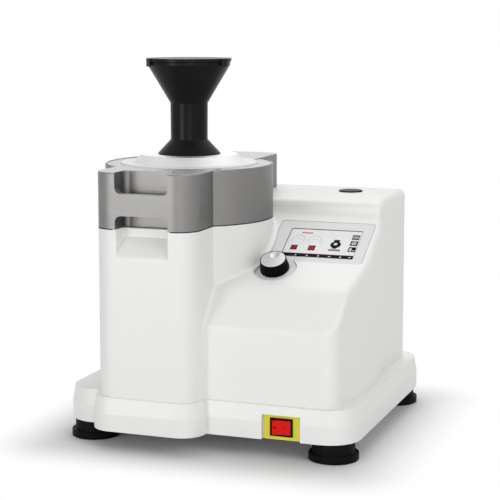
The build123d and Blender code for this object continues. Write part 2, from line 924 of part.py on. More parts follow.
def make_rear_panel():
    """The sheet-steel service panel with cooling slots."""
    x0 = rear_panel_x - rear_panel_width / 2
    top = rear_panel_low + rear_panel_height
    plate = block(x0, x0 + rear_panel_width, body_back, body_back + rear_panel_thickness, rear_panel_low, top)
    start = rear_panel_x - rear_panel_width / 2 + 2 * rear_opening_margin
    middle = rear_panel_low + rear_panel_height / 2
    for index in range(vent_count):
        z = middle + (index - (vent_count - 1) / 2) * vent_pitch
        plate -= block(start, start + vent_length, body_back - overrun, body_back + overrun,
                       z - vent_width / 2, z + vent_width / 2)
    plate -= framed(inlet_body_width + 2 * seat_gap, inlet_body_height + 2 * seat_gap,
                    body_back - overrun, body_back + overrun, inlet_x, inlet_z)
    for x, z in rear_screw_places():
        plate -= back_rod(rear_screw_radius + seat_gap, body_back - overrun, body_back + overrun, x, z)
    return plate


def make_rear_panel_screws():
    """The panel's corner screws, into the housing's back."""
    face = body_back + rear_panel_thickness
    screws = []
    for x, z in rear_screw_places():
        head = back_rod(rear_screw_head_radius, face, face + rear_screw_head_height, x, z)
        screws.append(head + back_rod(rear_screw_radius, body_back + seat_gap, face, x, z))
    return screws


def make_mains_inlet():
    """The appliance inlet: a flanged body with a socket well."""
    face = body_back + rear_panel_thickness
    flange = framed(inlet_flange_width, inlet_flange_height,
                    face, face + inlet_flange_thickness, inlet_x, inlet_z)
    body = framed(inlet_body_width, inlet_body_height, face - inlet_body_depth, face, inlet_x, inlet_z)
    well = framed(inlet_hole_width, inlet_hole_height, face + inlet_flange_thickness - inlet_hole_depth,
                  face + inlet_flange_thickness + overrun, inlet_x, inlet_z)
    return flange + body - well


def make_inlet_pins():
    """Live, neutral and earth pins in the inlet."""
    floor = body_back + rear_panel_thickness + inlet_flange_thickness - inlet_hole_depth
    side = inlet_pin_spacing / 2
    places = [(-side, -inlet_earth_rise / 2), (side, -inlet_earth_rise / 2), (0, inlet_earth_rise)]
    tip = floor + inlet_pin_length
    return [framed(inlet_pin_width, inlet_pin_height, floor, tip, inlet_x + x, inlet_z + z)
            for x, z in places]


# Control panel
def make_front_foil():
    """The thin printed foil on the sunk panel, with screen window and knob hole."""
    sheet = display_frame(0, 0, -panel_depth) * extrude(panel_outline(seat_gap), foil_thickness)
    sheet -= upright(column_radius + panel_column_gap + seat_gap, 0, deck_z + overrun, axis_x, axis_y)
    window = display_frame(screen_left + screen_width / 2, screen_low + screen_height / 2)
    glass = RectangleRounded(screen_width + 2 * running_gap, screen_height + 2 * running_gap,
                             screen_corner)
    sheet -= window * extrude(glass, overrun, both=True)
    return sheet - display_frame(knob_x, knob_v) * Cylinder(encoder_bush_radius + seat_gap, 2 * overrun)


def make_display_glass():
    """The touch screen's cover glass, flush in the foil."""
    place = display_frame(screen_left + screen_width / 2, screen_low + screen_height / 2, -panel_depth)
    return place * extrude(RectangleRounded(screen_width, screen_height, screen_corner), glass_thickness)


def make_display_module():
    """The display unit clamped under the panel floor."""
    under = -panel_depth - shell_wall
    place = display_frame(screen_left + screen_width / 2, screen_low + screen_height / 2, under)
    outline = Rectangle(screen_width + 2 * module_margin, screen_height + 2 * module_margin)
    case = extrude(outline, -module_depth)
    raise_up = extrude(Rectangle(screen_width - 2 * screen_lip - 2 * seat_gap,
                                 screen_height - 2 * screen_lip - 2 * seat_gap), shell_wall - seat_gap)
    return place * (case + raise_up)


# Knob and encoder
def knob_place(height=0.0):
    """The knob's frame above the sunk panel."""
    return display_frame(knob_x, knob_v, height - panel_depth + foil_thickness + knob_stand_off)


def make_knob_skirt():
    """The black tapered grip of the knob, fluted all round, with a pocket for the cap."""
    cone = Cone(knob_base_radius, knob_top_radius, knob_height, align=(Align.CENTER, Align.CENTER, Align.MIN))
    cone -= Pos(0, 0, knob_height - knob_cap_thickness) * Cylinder(
        knob_cap_radius + running_gap, overrun, align=(Align.CENTER, Align.CENTER, Align.MIN))
    bore_length = 2 * (knob_height - 2 * knob_cap_thickness)
    cone -= Cylinder(encoder_shaft_radius + running_gap, bore_length)
    flute = Pos(knob_base_radius + knob_grip_radius / 2, 0, 0) * Rot(0, -tilt_of_knob(), 0)
    flute = flute * Cylinder(knob_grip_radius, bore_length)
    for index in range(knob_grips):
        cone -= Rot(0, 0, 360 / knob_grips * index) * flute
    return knob_place() * cone


def tilt_of_knob():
    """The lean of the knob's side, in degrees."""
    return (knob_base_radius - knob_top_radius) / knob_height * 180 / pi


def make_knob_cap():
    """The satin disc in the knob's face, with a finger dimple."""
    disc = Cylinder(knob_cap_radius, knob_cap_thickness, align=(Align.CENTER, Align.CENTER, Align.MIN))
    ball = (dimple_radius ** 2 + dimple_depth ** 2) / (2 * dimple_depth)
    centre = knob_cap_thickness - dimple_depth + ball
    disc -= Pos(0, dimple_offset_share * knob_cap_radius, centre) * Sphere(ball)
    return knob_place(knob_height - knob_cap_thickness) * disc


def make_encoder_shaft():
    """The encoder's shaft, fixed in the knob."""
    top = knob_height - 2 * knob_cap_thickness - seat_gap
    bottom = -(knob_stand_off + foil_thickness + shell_wall + encoder_body_depth / 2)
    shaft = Cylinder(encoder_shaft_radius, top - bottom, align=(Align.CENTER, Align.CENTER, Align.MIN))
    return knob_place() * Pos(0, 0, bottom) * shaft


def make_encoder_body():
    """The rotary encoder under the panel, with its bushing through the floor."""
    place = display_frame(knob_x, knob_v, -panel_depth - shell_wall)
    case = Pos(0, 0, -encoder_body_depth / 2) * Box(encoder_body_size, encoder_body_size, encoder_body_depth)
    bush_top = shell_wall + foil_thickness
    bush = Cylinder(encoder_bush_radius, bush_top, align=(Align.CENTER, Align.CENTER, Align.MIN))
    bore = Cylinder(encoder_shaft_radius + running_gap, 4 * encoder_body_depth)
    floor = Pos(0, 0, -encoder_body_depth) * Cylinder(
        encoder_bush_radius, encoder_body_depth / 4, align=(Align.CENTER, Align.CENTER, Align.MIN))
    return place * (case + bush - bore + floor)


# Deck cap
def make_socket_cap():
    """The push-in cap over the stand-rod socket."""
    disc = upright(cap_radius, deck_z, deck_z + cap_thickness, cap_x, cap_y)
    disc = fillet(disc.edges().group_by(Axis.Z)[-1], cap_thickness / 2)
    return disc + upright(cap_stem_radius, deck_z - cap_stem_length, deck_z, cap_x, cap_y)


def make_rod_socket():
    """The threaded steel bush under the deck that takes a stand rod."""
    under = deck_z - shell_wall
    low = under - socket_depth
    bush = upright(socket_radius, low, under, cap_x, cap_y)
    return bush - upright(cap_stem_radius + running_gap, low + socket_wall, under + overrun, cap_x, cap_y)


# Grinding chamber
def make_chamber_tub():
    """The cast chamber: a tub with a bearing boss in its floor and a skirt for the motor."""
    body = turned([
        (shaft_radius + 2 * seat_gap, tub_floor_top),
        (tub_radius - tub_wall, tub_floor_top),
        (tub_radius - tub_wall, tub_rim_z),
        (tub_radius, tub_rim_z),
        (tub_radius, tub_floor_z),
        (tub_skirt_radius, tub_floor_z),
        (tub_skirt_radius, motor_top),
        (tub_skirt_radius - tub_skirt_wall, motor_top),
        (tub_skirt_radius - tub_skirt_wall, tub_floor_z),
        (bearing_radius + boss_wall, tub_floor_z),
        (bearing_radius + boss_wall, tub_floor_z - bearing_height),
        (bearing_radius + running_gap, tub_floor_z - bearing_height),
        (bearing_radius + running_gap, tub_floor_z),
        (shaft_radius + 2 * seat_gap, tub_floor_z),
    ])
    return body


def make_collecting_pan():
    """The annular steel pan that catches the ground sample."""
    outer = tub_radius - tub_wall - pan_gap
    seat = sieve_radius + seat_gap
    return turned([
        (pan_hub_radius, pan_floor_z),
        (outer, pan_floor_z),
        (outer, pan_floor_z + pan_height),
        (outer - pan_wall, pan_floor_z + pan_height),
        (outer - pan_wall, pan_floor_top),
        (seat + pan_wall, pan_floor_top),
        (seat + pan_wall, pan_floor_top + pan_seat_height),
        (seat, pan_floor_top + pan_seat_height),
        (seat, pan_floor_top),
        (pan_hub_radius, pan_floor_top),
    ])


def make_sieve_ring():
    """The sieve: a thin steel ring with rows of openings all round."""
    low = pan_floor_top
    ring = tube(sieve_radius, sieve_radius - sieve_wall, low, low + sieve_height, axis_x, axis_y)
    free = sieve_height - pan_seat_height - (sieve_rows + 1) * sieve_land
    tall = free / sieve_rows
    for row in range(sieve_rows):
        z = low + pan_seat_height + sieve_land + row * (tall + sieve_land)
        for x, y, bearing in around(sieve_slots, sieve_radius - sieve_wall / 2):
            hole = Box(2 * sieve_wall + seat_gap, sieve_slot_width, tall)
            ring -= Pos(x, y, z + tall / 2) * Rot(0, 0, bearing) * hole
    return ring


def make_rotor():
    """The rotor: a disc with a hub and a crown of wedge-shaped teeth."""
    top = rotor_bottom + rotor_height
    disc_top = rotor_bottom + rotor_disc_thickness
    body = upright(rotor_radius - rotor_tooth_depth / 2, rotor_bottom, disc_top, axis_x, axis_y)
    body += upright(rotor_hub_radius, rotor_bottom, top - rotor_cap_height, axis_x, axis_y)
    root = rotor_radius - rotor_tooth_depth
    points = [(root, -rotor_tooth_back_width / 2), (rotor_radius, -rotor_tooth_width / 2),
              (rotor_radius, rotor_tooth_width / 2), (root, rotor_tooth_back_width / 2)]
    wedge = make_face(Polyline(*points, close=True)) & Circle(rotor_radius)
    for _, _, bearing in around(rotor_teeth, root):
        body += Pos(axis_x, axis_y) * Rot(0, 0, bearing) * raised(wedge, rotor_bottom, top)
    return body - upright(shaft_radius + running_gap, rotor_bottom - overrun, top + overrun, axis_x, axis_y)


def make_rotor_cap():
    """The screw cap that holds the rotor on its shaft."""
    low = rotor_bottom + rotor_height - rotor_cap_height
    cap = upright(rotor_cap_radius, low, low + rotor_cap_height, axis_x, axis_y)
    cap = fillet(cap.edges().group_by(Axis.Z)[-1], edge_round / 2)
    middle = low + rotor_cap_height / 2
    return cap - upright(shaft_radius + running_gap, low - overrun, middle, axis_x, axis_y)


def make_drive_shaft():
    """The upright motor shaft."""
    low = motor_bottom - fan_drop - fan_thickness - fan_blade_height
    high = rotor_bottom + rotor_height - rotor_cap_height / 2 - seat_gap
    return upright(shaft_radius, low, high, axis_x, axis_y)


def make_bearing(bottom):
    """A ball bearing shown as its ring, with running room on the shaft."""
    return tube(bearing_radius, shaft_radius + running_gap, bottom, bottom + bearing_height, axis_x, axis_y)


def make_motor_frame():
    """The ribbed motor housing under the chamber, with its lower shield."""
    inner = motor_radius - motor_wall
    low = motor_bottom
    body = turned([
        (inner, motor_top),
        (tub_skirt_radius, motor_top),
        (tub_skirt_radius, motor_top - motor_flange),
        (motor_radius, motor_top - motor_flange),
        (motor_radius, low),
        (shaft_radius + 2 * seat_gap, low),
        (shaft_radius + 2 * seat_gap, low + motor_shield),
        (bearing_radius + running_gap, low + motor_shield),
        (bearing_radius + running_gap, low + motor_shield + bearing_height),
        (bearing_radius + boss_wall, low + motor_shield + bearing_height),
        (bearing_radius + boss_wall, low + motor_shield),
        (inner, low + motor_shield),
    ])
    for _, _, bearing in around(motor_rib_count, motor_radius):
        rib = Box(2 * motor_rib_depth, motor_rib_width, motor_height - 2 * motor_flange - motor_shield,
                  align=(Align.CENTER, Align.CENTER, Align.MIN))
        rib = Pos(motor_radius, 0, low + motor_shield) * rib
        body += Pos(axis_x, axis_y) * Rot(0, 0, bearing) * rib
    return body


def make_motor_stator():
    """The wound stator pack inside the motor housing."""
    middle = (motor_top + motor_bottom) / 2
    return tube(motor_radius - motor_wall - seat_gap, stator_bore_radius, middle - stator_height / 2,
                middle + stator_height / 2, axis_x, axis_y)


def make_motor_armature():
    """The rotor pack of the motor, fixed on the shaft."""
    middle = (motor_top + motor_bottom) / 2
    return tube(stator_bore_radius - armature_gap, shaft_radius + running_gap, middle - stator_height / 2,
                middle + stator_height / 2, axis_x, axis_y)


def make_cooling_fan():
    """The motor's fan wheel: a disc with straight blades below it."""
    top = motor_bottom - fan_drop
    low = top - fan_thickness
    wheel = upright(fan_radius, low, top, axis_x, axis_y)
    hub = 2 * shaft_radius
    wheel += upright(hub, low - fan_blade_height, low, axis_x, axis_y)
    for _, _, bearing in around(fan_blades, fan_radius):
        blade = Box(fan_blade_length, fan_thickness, fan_blade_height,
                    align=(Align.MAX, Align.CENTER, Align.MAX))
        wheel += Pos(axis_x, axis_y) * Rot(0, 0, bearing) * Pos(fan_radius, 0, low) * blade
    return wheel - upright(shaft_radius + running_gap, 0, deck_z, axis_x, axis_y)


def post_places():
    """Where the posts stand."""
    return [(x, y) for x, y, _ in around(post_count, post_circle_radius, post_bearing)]


def make_chamber_posts():
    """The four steel posts from the base plate up to the chamber."""
    top = tub_floor_z - buffer_height
    return [upright(post_radius, base_plate_top, top, x, y) for x, y in post_places()]


def make_rubber_buffers():
    """The rubber buffers between posts and chamber."""
    low = tub_floor_z - buffer_height
    return [upright(buffer_radius, low, tub_floor_z, x, y) for x, y in post_places()]


def make_motor_drive():
    """The speed controller: a closed box with cooling fins, on the tray."""
    x0 = drive_x - drive_width / 2
    y0 = drive_y - drive_length / 2
    top = plinth_top_z + drive_height
    body = block(x0, x0 + drive_width, y0, y0 + drive_length, plinth_top_z, top)
    pitch = (drive_width - drive_fin_thickness) / (drive_fins - 1)
    for index in range(drive_fins):
        x = x0 + index * pitch
        body += block(x, x + drive_fin_thickness, y0, y0 + drive_length, top, top + drive_fin_height)
    return body


# Lid
def handle_windows():
    """The two front windows of the lobe, above and below the handle bar."""
    front = axis_y - lobe_reach
    back = front + handle_depth
    tools = []
    for low, high, keep_low in ((handle_bar_high, lid_top + lobe_corner, True),
                                (lid_bottom - lobe_corner, handle_bar_low, False)):
        window = RectangleRounded(2 * handle_half_width, high - low, handle_corner)
        window = Plane.XZ.offset(-back + handle_depth / 2) * Pos(axis_x, (low + high) / 2) * window
        tools.append(extrude(window, handle_depth, both=True))
    return tools


def lid_blank():
    """The lid's outside: ring, front lobe and rear lug, each with a rounded top edge."""
    lug = Pos(axis_x, axis_y + lug_reach / 2) * Rectangle(2 * lug_half_width, lug_reach)
    lug = fillet(lug.vertices().sort_by(Axis.Y)[-2:], lug_corner)
    blank = upright(column_radius - lid_edge_round, lid_bottom, lid_top, axis_x, axis_y)
    pieces = (upright(column_radius, lid_bottom, lid_top, axis_x, axis_y),
              raised(lobe_plan(), lid_bottom, lid_top), raised(lug, lug_bottom, lid_top))
    for piece in pieces:
        blank += fillet(piece.faces().sort_by(Axis.Z)[-1].edges(), lid_edge_round)
    return blank


def make_lid_casting():
    """The aluminium lid: a ring with the handle lobe in front and the hinge lug behind."""
    body = lid_blank()
    body -= crescents()
    body -= upright(lid_bore_radius, lid_bottom - overrun, insert_flange_top, axis_x, axis_y)
    body -= upright(insert_radius + seat_gap, lid_bottom, lid_top + overrun, axis_x, axis_y)
    recess = raised(handle_plan(), lid_bottom - overrun, lid_top + overrun)
    bar_front = axis_y - lobe_reach
    reach = handle_half_width + overrun
    bar = block(axis_x - reach, axis_x + reach, bar_front - 2 * overrun, bar_front + handle_bar_thickness,
                lid_bottom - 2 * overrun, lid_top + 2 * overrun)
    body -= recess - bar
    for window in handle_windows():
        body -= window & bar
    body -= hinge_clearance()
    for x, y, _ in around(lid_screw_count, lid_screw_circle, lid_screw_bearing):
        body -= upright(lid_screw_radius + running_gap, insert_flange_top - overrun,
                        insert_flange_top + lid_screw_length - overrun, x, y)
    return body


def crescents():
    """The shallow turned faces at the left and right of the lid's top."""
    sunk = turned([
        (insert_radius - overrun, lid_top - crescent_depth),
        (column_radius - crescent_rim, lid_top - crescent_depth),
        (column_radius - crescent_rim, lid_top + overrun),
        (insert_radius - overrun, lid_top + overrun),
    ])
    flat = block(axis_x - lobe_half_width, axis_x + lobe_half_width, axis_y - lobe_reach, axis_y + lug_reach,
                 lid_bottom, lid_top + 2 * overrun)
    return sunk - flat


def hinge_clearance():
    """What the lug gives up round the pin, the ears and its own swing over the deck."""
    swing = hinge_z - lug_bottom
    wide = 2 * lug_half_width + 2 * overrun
    end = hinge_y + swing + overrun
    corner = block(axis_x - wide / 2, axis_x + wide / 2, hinge_y, end, lug_bottom - overrun, hinge_z)
    corner -= Pos(axis_x, hinge_y, hinge_z) * Rot(0, 90, 0) * Cylinder(swing, wide + 2 * overrun)
    bore = Pos(axis_x, hinge_y, hinge_z) * Rot(0, 90, 0) * Cylinder(
        hinge_pin_radius + running_gap, hinge_pin_length + 2 * seat_gap)
    tool = corner + bore
    reach = hinge_ear_radius + moving_gap
    for side in (-1, 1):
        x = axis_x + side * hinge_ear_spacing / 2
        half = hinge_ear_thickness / 2 + moving_gap / 2
        tool += block(x - half, x + half, hinge_y - reach, end, lug_bottom - overrun, hinge_z + reach)
    return tool


def make_hinge_brackets():
    """The two steel ears that stand up through the deck into the lug."""
    brackets = []
    for side in (-1, 1):
        x = axis_x + side * hinge_ear_spacing / 2
        half = hinge_ear_thickness / 2
        under = deck_z - shell_wall
        ear = block(x - half, x + half, hinge_y - hinge_ear_radius, hinge_y + hinge_ear_radius,
                    under, hinge_z)
        eye = Rot(0, 90, 0) * Cylinder(hinge_ear_radius, hinge_ear_thickness)
        ear += Pos(x, hinge_y, hinge_z) * eye
        reach = hinge_flange_length / 2
        foot = block(x - hinge_flange_width / 2, x + hinge_flange_width / 2, hinge_y - reach,
                     hinge_y + reach, under - hinge_flange_thickness, under)
        bore = Cylinder(hinge_pin_radius + running_gap, 2 * hinge_ear_thickness)
        ear -= Pos(x, hinge_y, hinge_z) * Rot(0, 90, 0) * bore
        brackets.append(ear + foot)
    return brackets


def make_hinge_pin():
    """The steel pin through lug and ears."""
    return Pos(axis_x, hinge_y, hinge_z) * Rot(0, 90, 0) * Cylinder(hinge_pin_radius, hinge_pin_length)


def make_lid_insert():
    """The white damping disc in the lid, with a flange under the casting's top."""
    inner = feed_tube_radius + seat_gap
    body = turned([
        (inner, insert_bottom),
        (insert_flange_radius, insert_bottom),
        (insert_flange_radius, insert_flange_top),
        (insert_radius, insert_flange_top),
        (insert_radius, insert_top),
        (inner, insert_top),
    ])
    for x, y, _ in around(lid_screw_count, lid_screw_circle, lid_screw_bearing):
        top = insert_flange_top + overrun
        body -= upright(lid_screw_radius + seat_gap, insert_bottom - overrun, top, x, y)
    return body


def make_lid_screws():
    """The screws that hold the insert up in the casting."""
    screws = []
    for x, y, _ in around(lid_screw_count, lid_screw_circle, lid_screw_bearing):
        head = upright(lid_screw_head_radius, insert_bottom - lid_screw_head_height, insert_bottom, x, y)
        tip = insert_bottom + lid_screw_length - overrun
        screws.append(head + upright(lid_screw_radius, insert_bottom, tip, x, y))
    return screws


def make_feed_cone():
    """The aluminium cone ring on the insert that centres the funnel."""
    return turned([
        (cone_bore_radius, insert_top),
        (cone_base_radius, insert_top),
        (cone_top_radius, cone_top),
        (funnel_tube_radius + seat_gap, cone_top),
        (funnel_tube_radius + seat_gap, cone_top - cone_height / 2),
        (cone_bore_radius, cone_top - cone_height / 2),
    ])


def make_feed_tube():
    """The steel liner that guides the feed from the funnel to the rotor."""
    top = insert_bottom + insert_flange_thickness
    return tube(feed_tube_radius, feed_tube_radius - feed_tube_wall, cover_top, top, axis_x, axis_y)


def make_pan_cover():
    """The steel cover that closes the pan, hung under the insert on spacers."""
    plate = tube(cover_radius, cover_hole_radius, cover_bottom, cover_top, axis_x, axis_y)
    for x, y, _ in around(spacer_count, spacer_circle_radius, spacer_bearing):
        plate += upright(spacer_radius, cover_top, insert_bottom, x, y)
    return plate


def make_lid_seal():
    """The rubber ring under the pan cover that presses on the chamber's rim."""
    return tube(seal_radius, seal_radius - seal_width, tub_rim_z + seat_gap, cover_bottom, axis_x, axis_y)


# Lid lock
def make_lid_striker():
    """The steel striker under the lid's lobe, with the hole for the lock bolt."""
    half = striker_thickness / 2
    plate = block(axis_x - half, axis_x + half, striker_y - striker_width / 2, striker_y + striker_width / 2,
                  lid_bottom - striker_drop, lid_bottom)
    hole = Rot(0, 90, 0) * Cylinder(striker_hole_radius, 2 * striker_thickness)
    return plate - Pos(axis_x, striker_y, bolt_height()) * hole


def bolt_height():
    """The height of the lock bolt."""
    return lid_bottom - striker_drop + striker_width / 2


def lock_start():
    """The left face of the lock case."""
    return axis_x + striker_thickness / 2 + bolt_clearance + bolt_clearance


def make_lock_case():
    """The lock's case, hung under the column's top beside the striker."""
    left = lock_start()
    z = bolt_height()
    high = column_top - shell_wall
    case = block(left, left + lock_length, striker_y - lock_depth / 2, striker_y + lock_depth / 2,
                 z - lock_height / 2, high)
    bore = Pos(left, striker_y, z) * Rot(0, 90, 0) * Cylinder(
        bolt_radius + running_gap, 2 * (bolt_length + bolt_travel / 2))
    return case - bore


def make_lock_bolt():
    """The motor-driven bolt, shown drawn back."""
    tip = axis_x + striker_thickness / 2 + bolt_clearance
    bolt = Rot(0, 90, 0) * Cylinder(bolt_radius, bolt_length)
    return Pos(tip + bolt_length / 2, striker_y, bolt_height()) * bolt


# Funnel
def make_feed_funnel():
    """The black feed funnel: flared foot, straight neck and wide mouth, with a spigot below."""
    inner = funnel_tube_radius - funnel_wall
    low = funnel_foot_z
    flare_top = low + funnel_flare_height
    mouth_low = funnel_mouth_z - funnel_rim_height
    spigot = low - funnel_spigot_depth
    return turned([
        (inner, spigot),
        (funnel_spigot_radius - 4 * seat_gap, spigot),
        (funnel_spigot_radius - 4 * seat_gap, insert_top),
        (funnel_spigot_radius, insert_top),
        (funnel_spigot_radius, low),
        (funnel_foot_radius, low),
        (funnel_foot_radius, low + funnel_foot_thickness),
        (funnel_tube_radius, flare_top),
        (funnel_tube_radius, funnel_tube_top),
        (funnel_mouth_radius, mouth_low),
        (funnel_mouth_radius, funnel_mouth_z),
        (funnel_mouth_radius - funnel_wall, funnel_mouth_z),
        (funnel_mouth_radius - funnel_wall, mouth_low),
        (inner, funnel_tube_top + funnel_wall),
    ])


def make_funnel_lid():
    """The funnel's lid: a disc with a plug ring inside the mouth and three clip tabs."""
    low = funnel_mouth_z + seat_gap
    top = low + funnel_lid_thickness
    plug = funnel_mouth_radius - funnel_wall - seat_gap
    plug_low = low - funnel_lid_plug_depth
    plug_inner = plug - funnel_lid_plug_wall
    body = turned([
        (0, low),
        (plug_inner, low),
        (plug_inner, plug_low),
        (plug, plug_low),
        (plug, low),
        (funnel_lid_radius, low),
        (funnel_lid_radius, top),
        (0, top),
    ])
    ball = (funnel_lid_dimple_radius ** 2 + funnel_lid_dimple_depth ** 2) / (2 * funnel_lid_dimple_depth)
    dimple_y = axis_y - funnel_lid_radius + funnel_lid_dimple_radius + seat_gap
    body -= Pos(axis_x, dimple_y, top - funnel_lid_dimple_depth + ball) * Sphere(ball)
    for _, _, bearing in around(funnel_tab_count, funnel_lid_radius, funnel_tab_bearing):
        tab = Box(funnel_tab_thickness, funnel_tab_width, funnel_tab_height + funnel_lid_thickness,
                  align=(Align.MAX, Align.CENTER, Align.MAX))
        tab = Pos(funnel_lid_radius + funnel_tab_thickness - seat_gap, 0, top) * tab
        body += Pos(axis_x, axis_y) * Rot(0, 0, bearing) * tab
    return body


parts = {
    "base_tray": make_base_tray,
    "base_plate": make_base_plate,
    "foot_bolts": make_foot_bolts,
    "foot_nuts": make_foot_nuts,
    "tray_screws": make_tray_screws,
    "housing_screws": make_housing_screws,
    "switch_plate": make_switch_plate,
    "switch_frame": make_switch_frame,
    "power_rocker": make_rocker,
    "housing_shell": make_housing_shell,
    "rear_panel": make_rear_panel,
    "rear_panel_screws": make_rear_panel_screws,
    "mains_inlet": make_mains_inlet,
    "inlet_pins": make_inlet_pins,
    "front_foil": make_front_foil,
    "display_glass": make_display_glass,
    "display_module": make_display_module,
    "knob_skirt": make_knob_skirt,
    "knob_cap": make_knob_cap,
    "encoder_shaft": make_encoder_shaft,
    "encoder_body": make_encoder_body,
    "socket_cap": make_socket_cap,
    "rod_socket": make_rod_socket,
    "chamber_tub": make_chamber_tub,
    "collecting_pan": make_collecting_pan,
    "sieve_ring": make_sieve_ring,
    "rotor": make_rotor,
    "rotor_cap": make_rotor_cap,
    "drive_shaft": make_drive_shaft,
    "upper_bearing": lambda: make_bearing(tub_floor_z - bearing_height),
    "lower_bearing": lambda: make_bearing(motor_bottom + motor_shield),
    "motor_frame": make_motor_frame,
    "motor_stator": make_motor_stator,
    "motor_armature": make_motor_armature,
    "cooling_fan": make_cooling_fan,
    "chamber_posts": make_chamber_posts,
    "rubber_buffers": make_rubber_buffers,
    "motor_drive": make_motor_drive,
    "lid_casting": make_lid_casting,
    "lid_insert": make_lid_insert,
    "lid_screws": make_lid_screws,
    "feed_cone": make_feed_cone,
    "feed_tube": make_feed_tube,
    "pan_cover": make_pan_cover,
    "lid_seal": make_lid_seal,
    "hinge_brackets": make_hinge_brackets,
    "hinge_pin": make_hinge_pin,
    "lid_striker": make_lid_striker,
    "lock_case": make_lock_case,
    "lock_bolt": make_lock_bolt,
    "feed_funnel": make_feed_funnel,
    "funnel_lid": make_funnel_lid,
}

os.makedirs("parts", exist_ok=True)
for foot, (foot_x, foot_y) in foot_places().items():
    export_step(make_foot(foot_x, foot_y), f"parts/{foot}.step")
for node, make in parts.items():
    made = make()
    if isinstance(made, list):
        made = Compound(children=[solid for piece in made for solid in piece.solids()])
    export_step(made, f"parts/{node}.step")
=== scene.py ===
import math

import bmesh
import bpy
import numpy as np
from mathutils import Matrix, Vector


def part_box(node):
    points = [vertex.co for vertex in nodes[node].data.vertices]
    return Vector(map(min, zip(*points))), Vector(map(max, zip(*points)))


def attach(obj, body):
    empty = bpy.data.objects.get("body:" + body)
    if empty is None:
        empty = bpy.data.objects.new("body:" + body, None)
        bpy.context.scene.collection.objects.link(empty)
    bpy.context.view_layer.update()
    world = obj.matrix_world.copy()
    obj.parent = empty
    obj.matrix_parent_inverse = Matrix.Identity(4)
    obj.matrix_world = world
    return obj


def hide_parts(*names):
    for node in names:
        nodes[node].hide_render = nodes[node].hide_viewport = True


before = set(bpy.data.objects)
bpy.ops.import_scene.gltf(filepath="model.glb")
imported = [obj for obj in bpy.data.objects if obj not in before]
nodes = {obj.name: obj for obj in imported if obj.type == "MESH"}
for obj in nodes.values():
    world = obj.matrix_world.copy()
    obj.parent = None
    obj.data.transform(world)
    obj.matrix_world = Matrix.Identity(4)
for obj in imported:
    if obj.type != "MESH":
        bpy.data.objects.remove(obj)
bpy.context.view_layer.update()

scene = bpy.context.scene
scene.view_settings.view_transform = "Standard"
mm = 0.001


# Camera
# A long lens from the front right, a little above the machine and tilted down. The values are
# fitted so that feet, plinth, lid ring and deck fall on their places in the picture.
camera_place = (0.74249, -2.03042, 0.59259)
camera_turn = 19.991
camera_pitch = 7.341
camera_drop = 0.08
picture_side = 500
focal_pixels = 1491.2
sensor_side = 36.0

lens = bpy.data.cameras.new("camera")
lens.sensor_width = sensor_side
lens.lens = focal_pixels / picture_side * sensor_side
lens.shift_y = -camera_drop
camera = bpy.data.objects.new("camera", lens)
camera.location = camera_place
camera.rotation_euler = (math.radians(90 - camera_pitch), 0, math.radians(camera_turn))
scene.collection.objects.link(camera)
scene.camera = camera


# Room
# A grey floor that turns to a glowing white background a little way out from the machine; the
# grey ring left round the footprint is partly painted shade. A sky that is brighter overhead,
# and five soft lamps: one high on each side, two low in front and a large one above and behind.
floor_half = 30.0
floor_colour = (0.77, 0.77, 0.77, 1)
floor_roughness = 0.9
footprint_half = 0.2
shadow_reach = 0.12
horizon_level = 0.14
zenith_level = 0.60
background_level = 1.0
white = (1, 1, 1, 1)
black = (0, 0, 0, 1)
lamp_target = (0.0, 0.0, 0.25)

# Each lamp has its name, its place, its width and its power in watts.
lamps = (
    ("left_lamp", (-1.8, -2.4, 1.4), 1.6, 1.0),
    ("right_lamp", (2.5, -1.4, 1.7), 1.6, 27.0),
    ("low_lamp", (-1.4, -3.1, 0.4), 1.15, 30.0),
    ("front_lamp", (1.3, -3.2, 0.7), 1.8, 18.5),
    ("top_lamp", (-0.3, 1.5, 2.7), 3.2, 40.0),
)


def node_material(name):
    """A material with its principled shader; returns the material, its tree and the shader."""
    made = bpy.data.materials.new(name)
    made.use_nodes = True
    tree = made.node_tree
    return made, tree, tree.nodes["Principled BSDF"]


def add_node(tree, kind, links=(), **settings):
    """A node of that kind; settings are its properties, links feed its inputs by name or place."""
    node = tree.nodes.new(kind)
    for key, value in settings.items():
        setattr(node, key, value)
    for key, value in dict(links).items():
        if isinstance(value, bpy.types.NodeSocket):
            tree.links.new(value, node.inputs[key])
        else:
            node.inputs[key].default_value = value
    return node


def seen_directly(tree):
    """One where the ray comes from the camera, a mirror-like surface or through glass: the larger
    of the three marks that the ray carries."""
    ray = tree.nodes.new("ShaderNodeLightPath").outputs
    first = add_node(tree, "ShaderNodeMath", {0: ray["Is Camera Ray"], 1: ray["Is Glossy Ray"]},
                     operation="MAXIMUM")
    both = add_node(tree, "ShaderNodeMath", {0: first.outputs[0], 1: ray["Is Transmission Ray"]},
                    operation="MAXIMUM")
    return both.outputs[0]


def linked(name, mesh, material):
    """The object of a mesh with its one material, at the origin of the scene."""
    mesh.materials.append(material)
    made = bpy.data.objects.new(name, mesh)
    scene.collection.objects.link(made)
    return made


world = bpy.data.worlds.new("studio")
world.use_nodes = True
scene.world = world
air = world.node_tree
direction = air.nodes.new("ShaderNodeTexCoord").outputs["Generated"]
height = add_node(air, "ShaderNodeSeparateXYZ", {0: direction}).outputs["Z"]
level = add_node(air, "ShaderNodeMapRange", {"Value": height, "To Min": horizon_level,
                                             "To Max": zenith_level}).outputs["Result"]
sky_mix = add_node(air, "ShaderNodeMix", {0: seen_directly(air), 2: level, 3: background_level},
                   data_type="FLOAT")
air.links.new(sky_mix.outputs[0], air.nodes["Background"].inputs["Strength"])
air.nodes["Background"].inputs["Color"].default_value = white

